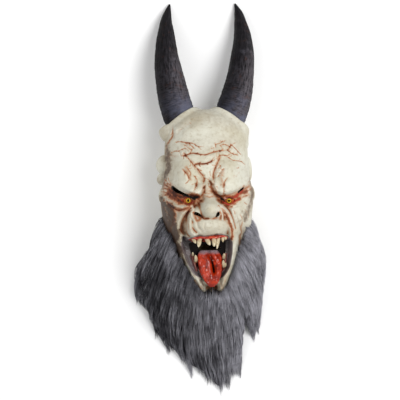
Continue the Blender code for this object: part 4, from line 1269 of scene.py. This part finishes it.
def make_tongue():
    """A thick tongue with two rolled lobes and a deep cleft that forks near its tip."""
    rows, columns = 140, 104
    line = spaced(curve_points(TONGUE, 6), rows)
    edge = curve_points(TONGUE_EDGE, 4)[::-1]
    left = np.interp(line[:, 1], edge[:, 1], edge[:, 0])
    right = np.interp(line[:, 1], edge[:, 1], edge[:, 2])
    middle, half = (left + right) / 2, (right - left) / 2
    angle = np.linspace(0, 2 * math.pi, columns, endpoint=False)
    across, up = np.sin(angle)[None, :], np.cos(angle)[None, :]
    x = middle[:, None] + half[:, None] * signed_power(across, 0.85)
    y = line[:, 1][:, None] + 0 * x
    depth = np.where(up > 0, 9.0, TONGUE_DEPTH - 9.0)
    end = np.clip(half / 18.0, 0.25, 1)[:, None]
    z = line[:, 2][:, None] - 9.0 * end + depth * end * signed_power(up, 0.75)
    on_top = smooth_step(up * 3)
    gap = np.zeros(x.shape)
    drop = np.zeros(x.shape)
    for line_points in (TONGUE_CLEFT, TONGUE_FORK):
        cleft = curve_points(line_points, 5)
        distance, along, _ = distance_to_curve(x, y, cleft)
        deep, wide = value_along(along, cleft, 2), value_along(along, cleft, 3)
        groove = np.exp(-(distance / wide) ** 2)
        drop = np.maximum(drop, deep * groove + 2.5 * np.exp(-(distance / 6.0) ** 2))
        gap = np.maximum(gap, groove * smooth_step((deep - 4.0) / 8.0))
        lip = np.exp(-((distance - 8.5) / 3.2) ** 2)
        z += on_top * 1.6 * lip
    z -= on_top * drop
    z += on_top * (1.0 * hills(x, y * 0.5, 4.5, 61) + 0.7 * hills(x, y * 0.7, 2.4, 62))
    points = np.stack([x, y, z], axis=-1)
    bm = bmesh.new()
    crease = bm.verts.layers.float.new("crease")
    grid = [[bm.verts.new(p * MM) for p in row] for row in points]
    for row, shares in zip(grid, gap * (up > 0)):
        for vert, share in zip(row, shares):
            vert[crease] = share
    for first, second in zip(grid[:-1], grid[1:]):
        for k in range(columns):
            j = (k + 1) % columns
            bm.faces.new((first[k], second[k], second[j], first[j]))
    bm.faces.new(grid[0])
    bm.faces.new(grid[-1][::-1])
    return finish_mesh("forked_tongue", bm)


def peg(bm, layer, root, tip, width, bend, seed):
    """One pointed tooth: flared at the gum, slightly flat, bent and ribbed."""
    root, tip = np.array(root, dtype=float), np.array(tip, dtype=float)
    way = tip - root
    root = root - 0.12 * way - np.array((0.0, 0.0, 2.5))
    middle = (root + tip) / 2 + np.array((bend, 0.0, 1.5))
    centres = curve_points((root, middle, tip), 8)
    share = np.linspace(0, 1, len(centres))
    radii = 0.55 * width * np.clip(1.1 - 0.2 * share - 0.8 * share ** 5, 0.12, 2) ** 0.9
    direction = np.gradient(centres, axis=0)
    rings = []
    sides = 14
    for centre, step, radius, part in zip(centres, direction, radii, share):
        step = step / np.linalg.norm(step)
        across = np.cross(step, (0.0, 0.0, 1.0))
        across = across / np.linalg.norm(across)
        up = np.cross(across, step)
        ring = []
        for i in range(sides):
            angle = 2 * math.pi * i / sides
            rib = 1.0 + 0.04 * math.sin(3 * angle + seed)
            point = centre + radius * rib * (math.cos(angle) * across
                                             + 0.85 * math.sin(angle) * up)
            vert = bm.verts.new(Vector(point) * MM)
            vert[layer] = max(0.0, 1.0 - part * 2.1)
            ring.append(vert)
        rings.append(ring)
    close_tube(bm, rings)


def make_tooth(name, points, seed):
    """A tooth of one or two points."""
    bm = bmesh.new()
    layer = bm.verts.layers.float.new("root")
    for root, tip, width in points:
        peg(bm, layer, root, tip, width, 0.5 * math.sin(seed), seed)
    return finish_mesh(name, bm)


def make_eyeball(name, centre):
    """A ball with a slightly raised clear front over its iris."""
    bpy.ops.object.select_all(action="DESELECT")
    x, y, z = centre
    bpy.ops.mesh.primitive_uv_sphere_add(segments=48, ring_count=32, radius=EYE_RADIUS * MM,
                                         location=(x * MM, y * MM, z * MM))
    ball = bpy.context.object
    ball.name = ball.data.name = name
    bpy.ops.object.transform_apply(location=True, rotation=True, scale=True)
    for vert in ball.data.vertices:
        offset = np.array(vert.co) / MM - np.array(centre)
        flat = math.hypot(offset[0], offset[1])
        if offset[2] > 0:
            vert.co.z += 0.9 * math.exp(-(flat / 4.2) ** 2) * MM
    bpy.ops.object.shade_smooth()
    return ball


# The beard

def pelt_grid(pelt_tree):
    """Points and outward directions of the fur's skin, one row per line of hair."""
    lines = [curve_points([(*p, 0.0) for p in line], 8) for line in FUR_LINES]
    share = np.linspace(0, 1, FUR_STEPS + 1)
    skin = np.zeros((len(lines), FUR_STEPS + 1, 3))
    for i, line in enumerate(lines):
        line = np.vstack([line, line[-1] + LINE_OVERSHOOT * (line[-1] - line[0])])
        at = np.linspace(0, 1, len(line))
        for k in range(2):
            skin[i, :, k] = np.interp(share, at, line[:, k])
        for j in range(FUR_STEPS + 1):
            x, y = skin[i, j, :2]
            skin[i, j, 2] = surface_height(pelt_tree, x, y, -1.0)
    skin = smoothed_grid(skin, LINE_STEPS)
    for row in skin:
        known = row[:, 2] > 0
        row[:, 2] = np.interp(np.arange(len(row)), np.flatnonzero(known), row[known, 2])
        row[-4:, 2] = np.minimum(row[-4:, 2], (9.0, 7.0, 5.0, 4.0))
        row[1:-1, 2] = (row[:-2, 2] + row[1:-1, 2] + row[2:, 2]) / 3
    middle = np.exp(-((np.arange(len(skin)) - LINE_STEPS * CHIN_LINE) / 3.0) ** 2)
    skin[..., 2] += CHIN_RISE * middle[:, None] * np.exp(-share / 0.05)
    normal = np.cross(np.gradient(skin, axis=1), np.gradient(skin, axis=0))
    normal = normal / np.linalg.norm(normal, axis=2, keepdims=True)
    normal = normal * np.where(normal[..., 2:3] < 0, -1.0, 1.0)
    return skin, normal


def smoothed_grid(grid, times):
    """The grid with more rows across it, on smooth curves."""
    rows = []
    for column in range(grid.shape[1]):
        rows.append(curve_points(grid[:, column], times))
    return np.stack(rows, axis=1)


def make_pelt(skin, normal):
    """The fur's solid backing, a little inside the strands' outline."""
    count, steps = skin.shape[:2]
    share = np.linspace(0, 1, steps)
    jag = 0.5 + 0.5 * hills(np.arange(count) * 1.0, np.zeros(count), 2.3, 71)
    top = skin.copy()
    for i in range(count):
        reach = 0.83 + 0.1 * jag[i]
        edge = 0.6 if i in (0, 1, count - 2, count - 1) else 1.0
        for k in range(3):
            at = BACKING_START + share * (reach * edge - BACKING_START)
            top[i, :, k] = np.interp(at, share, skin[i, :, k])
    top = top - normal * (4.0 + 2.0 * np.exp(-share / 0.05))[None, :, None]
    top[..., 2] = np.maximum(top[..., 2], 3.0)
    thickness = np.minimum(12.0 - 9.0 * share, 1.5 + 60.0 * share)[None, :, None]
    low = top - normal * thickness
    low[..., 2] = np.clip(low[..., 2], 0.3, top[..., 2] - 1.2)
    bm = bmesh.new()
    high = [[bm.verts.new(p * MM) for p in row] for row in top]
    under = [[bm.verts.new(p * MM) for p in row] for row in low]
    for grid in (high, under):
        for first, second in zip(grid[:-1], grid[1:]):
            for j in range(steps - 1):
                bm.faces.new((first[j], first[j + 1], second[j + 1], second[j]))
    rims = []
    for grid in (high, under):
        rims.append(grid[0] + [row[-1] for row in grid[1:]] + grid[-1][-2::-1]
                    + [row[0] for row in grid[-2:0:-1]])
    first, second = rims
    for i in range(len(first)):
        j = (i + 1) % len(first)
        bm.faces.new((first[i], first[j], second[j], second[i]))
    return finish_mesh("fur_backing", bm)


def on_pelt(grid, u, t):
    """Points of the pelt at line number u and share t along it."""
    u = np.clip(u, 0, grid.shape[0] - 1.001)
    v = np.clip(t, 0, 1) * (grid.shape[1] - 1.001)
    i, j = u.astype(int), v.astype(int)
    fu, fv = (u - i)[..., None], (v - j)[..., None]
    return (grid[i, j] * (1 - fu) * (1 - fv) + grid[i + 1, j] * fu * (1 - fv)
            + grid[i, j + 1] * (1 - fu) * fv + grid[i + 1, j + 1] * fu * fv)


STRAND_RINGS = 8


def strand_paths(skin, normal, pick, locks, hairs, roots, lengths, spread, lift, width):
    """Centre lines, radii, tones and shares of many strands that gather into locks."""
    count = skin.shape[0]
    number = locks * hairs
    line = np.repeat(pick.uniform(0.6, count - 1.6, locks), hairs)
    start = np.repeat(pick.uniform(*roots, locks), hairs)[:, None]
    reach = np.repeat(pick.uniform(*lengths, locks), hairs) * pick.uniform(0.78, 1.03, number)
    swing = np.repeat(pick.uniform(-1, 1, locks), hairs) + pick.uniform(-0.35, 0.35, number)
    phase = np.repeat(pick.uniform(0, 2 * math.pi, locks), hairs) + pick.uniform(-0.5, 0.5, number)
    lock_tone = np.repeat(pick.uniform(0, 1, locks), hairs)
    side = pick.normal(0, spread, number)
    back = pick.normal(0, spread, number)
    high = pick.uniform(0.0, 1.0, number)
    s = np.linspace(0, 1, STRAND_RINGS)[None, :]
    lengths_along = np.linalg.norm(np.diff(skin, axis=1), axis=2).sum(axis=1)
    size = np.interp(line, np.arange(count), lengths_along)[:, None]
    dip = 0.13 * np.abs(np.sin(math.pi * line / LINE_STEPS))[:, None]
    limit = 1.02 - dip * pick.uniform(0.7, 1.2, number)[:, None]
    end = np.minimum(start + reach[:, None] / size, limit)
    t = np.clip(start + s * (end - start) + back[:, None] / size * (1 - s), 0, 1.03)
    step = on_pelt(skin, line[:, None] + 0.5, t) - on_pelt(skin, line[:, None] - 0.5, t)
    per_line = np.maximum(np.linalg.norm(step, axis=2), 3.0)
    bend = 4.0 * swing[:, None] * np.sin(s * 0.05 * reach[:, None] + phase[:, None])
    kink = 0.5 * np.sin(s * 17 + 3 * phase[:, None]) * pick.uniform(0, 1, number)[:, None]
    gather = side[:, None] * (1 - 0.9 * s ** 1.8)
    u = line[:, None] + (gather + (bend + kink) * s ** 0.5) / per_line
    base = on_pelt(skin, u, t)
    out = on_pelt(normal, u, t)
    out = out / np.linalg.norm(out, axis=2, keepdims=True)
    height = (-3.0 + 3.0 * high[:, None] + lift * (0.3 + 0.7 * high[:, None])
              * np.sin(np.clip(s * 1.1 + 0.05, 0, 1) * math.pi) ** 0.8)
    points = base + out * height[..., None]
    points[..., 2] = np.maximum(points[..., 2], 0.8 + 3.0 * high[:, None])
    thickness = width * (0.6 + 0.4 * pick.uniform(0, 1, number))[:, None]
    swell = 0.7 + 0.3 * np.minimum(s * 4, 1)
    radius = thickness * np.clip(1.05 - s ** 2.5, 0.12, 1) * swell
    tone = 0.72 * lock_tone + 0.28 * pick.uniform(0, 1, number)
    return points, radius, tone, np.broadcast_to(s, radius.shape)


def hair_mesh(name, points, radius, tone, along):
    """Three-sided tapered strands as one mesh."""
    count, rings = points.shape[:2]
    way = np.gradient(points, axis=1)
    way /= np.maximum(np.linalg.norm(way, axis=2, keepdims=True), 1e-9)
    across = np.cross(way, (0.0, 0.0, 1.0))
    across /= np.maximum(np.linalg.norm(across, axis=2, keepdims=True), 1e-6)
    up = np.cross(across, way)
    corners = []
    for angle in (math.pi / 2, math.pi * 7 / 6, math.pi * 11 / 6):
        corners.append(points + radius[..., None] * (math.cos(angle) * across
                                                     + math.sin(angle) * up))
    place = np.stack(corners, axis=2).reshape(-1, 3) * MM
    first = (np.arange(count) * rings * 3)[:, None, None]
    ring = (np.arange(rings - 1) * 3)[None, :, None]
    k = np.arange(3)[None, None, :]
    a = first + ring + k
    b = first + ring + (k + 1) % 3
    quads = np.stack([a, a + 3, b + 3, b], axis=-1).reshape(-1, 4)
    start = (np.arange(count) * rings * 3)[:, None]
    roots = start + np.array((0, 1, 2))[None, :]
    tips = start + (rings - 1) * 3 + np.array((2, 1, 0))[None, :]
    caps = np.concatenate([roots, tips])
    mesh = bpy.data.meshes.new(name)
    mesh.vertices.add(len(place))
    mesh.vertices.foreach_set("co", place.ravel())
    corners = np.concatenate([quads.ravel(), caps.ravel()])
    mesh.loops.add(len(corners))
    mesh.loops.foreach_set("vertex_index", corners.astype(np.int32))
    starts = np.concatenate([np.arange(len(quads)) * 4, len(quads) * 4 + np.arange(len(caps)) * 3])
    mesh.polygons.add(len(starts))
    mesh.polygons.foreach_set("loop_start", starts.astype(np.int32))
    mesh.polygons.foreach_set("use_smooth", np.ones(len(starts), dtype=bool))
    mesh.update(calc_edges=True)
    mesh.validate()
    data = np.zeros((count, rings, 3, 3))
    data[..., 0] = tone[:, None, None]
    data[..., 1] = along[:, :, None]
    # Painted light: lighter towards the right, darker to the left and towards the beard's end.
    lit = smooth_step((points[..., 0] + 135) / 225)
    lit -= 0.3 * smooth_step((-points[..., 1] - 290) / 110)
    data[..., 2] = np.clip(lit, 0, 1)[:, :, None]
    layer = mesh.attributes.new("hair", "FLOAT_VECTOR", "POINT")
    layer.data.foreach_set("vector", data.reshape(-1).astype(np.float32))
    obj = bpy.data.objects.new(name, mesh)
    bpy.context.scene.collection.objects.link(obj)
    return obj


FUR_LAYERS = (              # name, locks, hairs each, roots, lengths, spread, lift, half width
    ("end_fur", 300, 11, (0.40, 0.80), (70, 130), 2.6, 5.0, 0.50),
    ("long_fur", 300, 11, (0.22, 0.62), (80, 140), 2.6, 8.0, 0.48),
    ("middle_fur", 300, 11, (0.08, 0.42), (70, 130), 2.6, 10.0, 0.46),
    ("top_fur", 300, 11, (0.015, 0.22), (60, 120), 2.4, 10.0, 0.44),
    ("jaw_fur", 260, 11, (0.015, 0.045), (40, 90), 2.2, 8.0, 0.40),
)


def make_beard():
    skin, normal = pelt_grid(tree_of(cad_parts["beard"]))
    pieces = [make_pelt(skin[BACKING_ROWS], normal[BACKING_ROWS])]
    pick = np.random.default_rng(7)
    for name, *settings in FUR_LAYERS:
        pieces.append(hair_mesh(name, *strand_paths(skin, normal, pick, *settings)))
    return pieces


def place_piece(obj, finish, slot, *nodes):
    if finish is not None:
        obj.data.materials.append(finish)
    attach(obj, "root")
    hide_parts(*nodes)


def main_pieces():
    shell = make_shell()
    place_piece(shell, None, "latex", "mask_shell")
    horn = horn_finish()
    place_piece(make_horn("left_horn", HORN_LEFT, 41), horn, "horn", "horn_left")
    place_piece(make_horn("right_horn", HORN_RIGHT, 51), horn, "horn", "horn_right")
    place_piece(make_tongue(), tongue_finish(), "tongue", "tongue")
    enamel = tooth_finish()
    for row, teeth in (("upper", UPPER_TEETH), ("lower", LOWER_TEETH)):
        for number, points in enumerate(teeth, 1):
            tooth = make_tooth(f"{row}_fang_{number}", points, number)
            place_piece(tooth, enamel, "tooth", f"{row}_tooth_{number}")
    tree = tree_of(shell)
    pupils = ((1.4, 0.8, 1.0), (0.8, 1.3, 1.0))
    for side, (x, y), stretch in zip(("left", "right"), EYES, pupils):
        centre = (x, y, surface_height(tree, x, y, 200.0) - EYE_SINK)
        ball = make_eyeball(f"{side}_eyeball", centre)
        place_piece(ball, eye_finish(f"{side}_iris", centre, stretch), "eye", f"eye_{side}")
    fur = hair_finish("slate_fur", srgb(34, 33, 39), srgb(206, 205, 214))
    backing = pelt_finish()
    for piece in make_beard():
        place_piece(piece, backing if piece.name == "fur_backing" else fur, "fur", "beard")


# Studio

VIEW_DISTANCE = 3.0
VIEW_WIDTH = 0.880
VIEW_YAW = math.radians(2.5)
VIEW_ROLL = math.radians(1.0)
VIEW_SHIFT = -6.8 / 400
SENSOR_WIDTH = 36.0


def set_camera():
    turned = Vector((math.cos(VIEW_YAW), 0.0, math.sin(VIEW_YAW)))
    level = Vector((0.0, 1.0, 0.0))
    right = math.cos(VIEW_ROLL) * turned - math.sin(VIEW_ROLL) * level
    up = math.sin(VIEW_ROLL) * turned + math.cos(VIEW_ROLL) * level
    back = right.cross(up)
    data = bpy.data.cameras.new("camera")
    data.sensor_width = SENSOR_WIDTH
    data.lens = SENSOR_WIDTH * VIEW_DISTANCE / VIEW_WIDTH
    data.shift_x = VIEW_SHIFT
    camera = bpy.data.objects.new("camera", data)
    bpy.context.scene.collection.objects.link(camera)
    place = Matrix((right, up, back)).transposed().to_4x4()
    place.translation = Vector((0, 0, HEAD_AXIS_HEIGHT * MM)) + VIEW_DISTANCE * back
    camera.matrix_world = place
    bpy.context.scene.camera = camera


def set_light(name, place, size, power):
    data = bpy.data.lights.new(name, "AREA")
    data.shape = "DISK"
    data.size = size
    data.energy = power
    light = bpy.data.objects.new(name, data)
    bpy.context.scene.collection.objects.link(light)
    light.location = place
    aim = Vector((0, 0.0, 0.1)) - Vector(place)
    light.rotation_euler = aim.to_track_quat("-Z", "Y").to_euler()


def set_studio():
    bm = bmesh.new()
    corners = [bm.verts.new((x, y, -0.0005)) for x, y in ((-4, -4), (4, -4), (4, 4), (-4, 4))]
    bm.faces.new(corners)
    floor = finish_mesh("floor", bm, False)
    f = Finish("pale_floor", Roughness=0.9)
    f.give("Base Color", f.mix(f.noise(3), srgb(250, 250, 250), srgb(247, 247, 247)))
    floor.data.materials.append(f.material)
    set_light("key", (1.0, 0.25, 2.5), 1.3, 46)
    set_light("fill", (-1.2, -0.3, 2.2), 1.6, 8)
    world = bpy.data.worlds.new("studio")
    world.use_nodes = True
    world.node_tree.nodes["Background"].inputs[0].default_value = (1, 1, 1, 1)
    world.node_tree.nodes["Background"].inputs[1].default_value = 0.6
    bpy.context.scene.world = world
    bpy.context.scene.view_settings.view_transform = "Standard"


main_pieces()
set_camera()
set_studio()
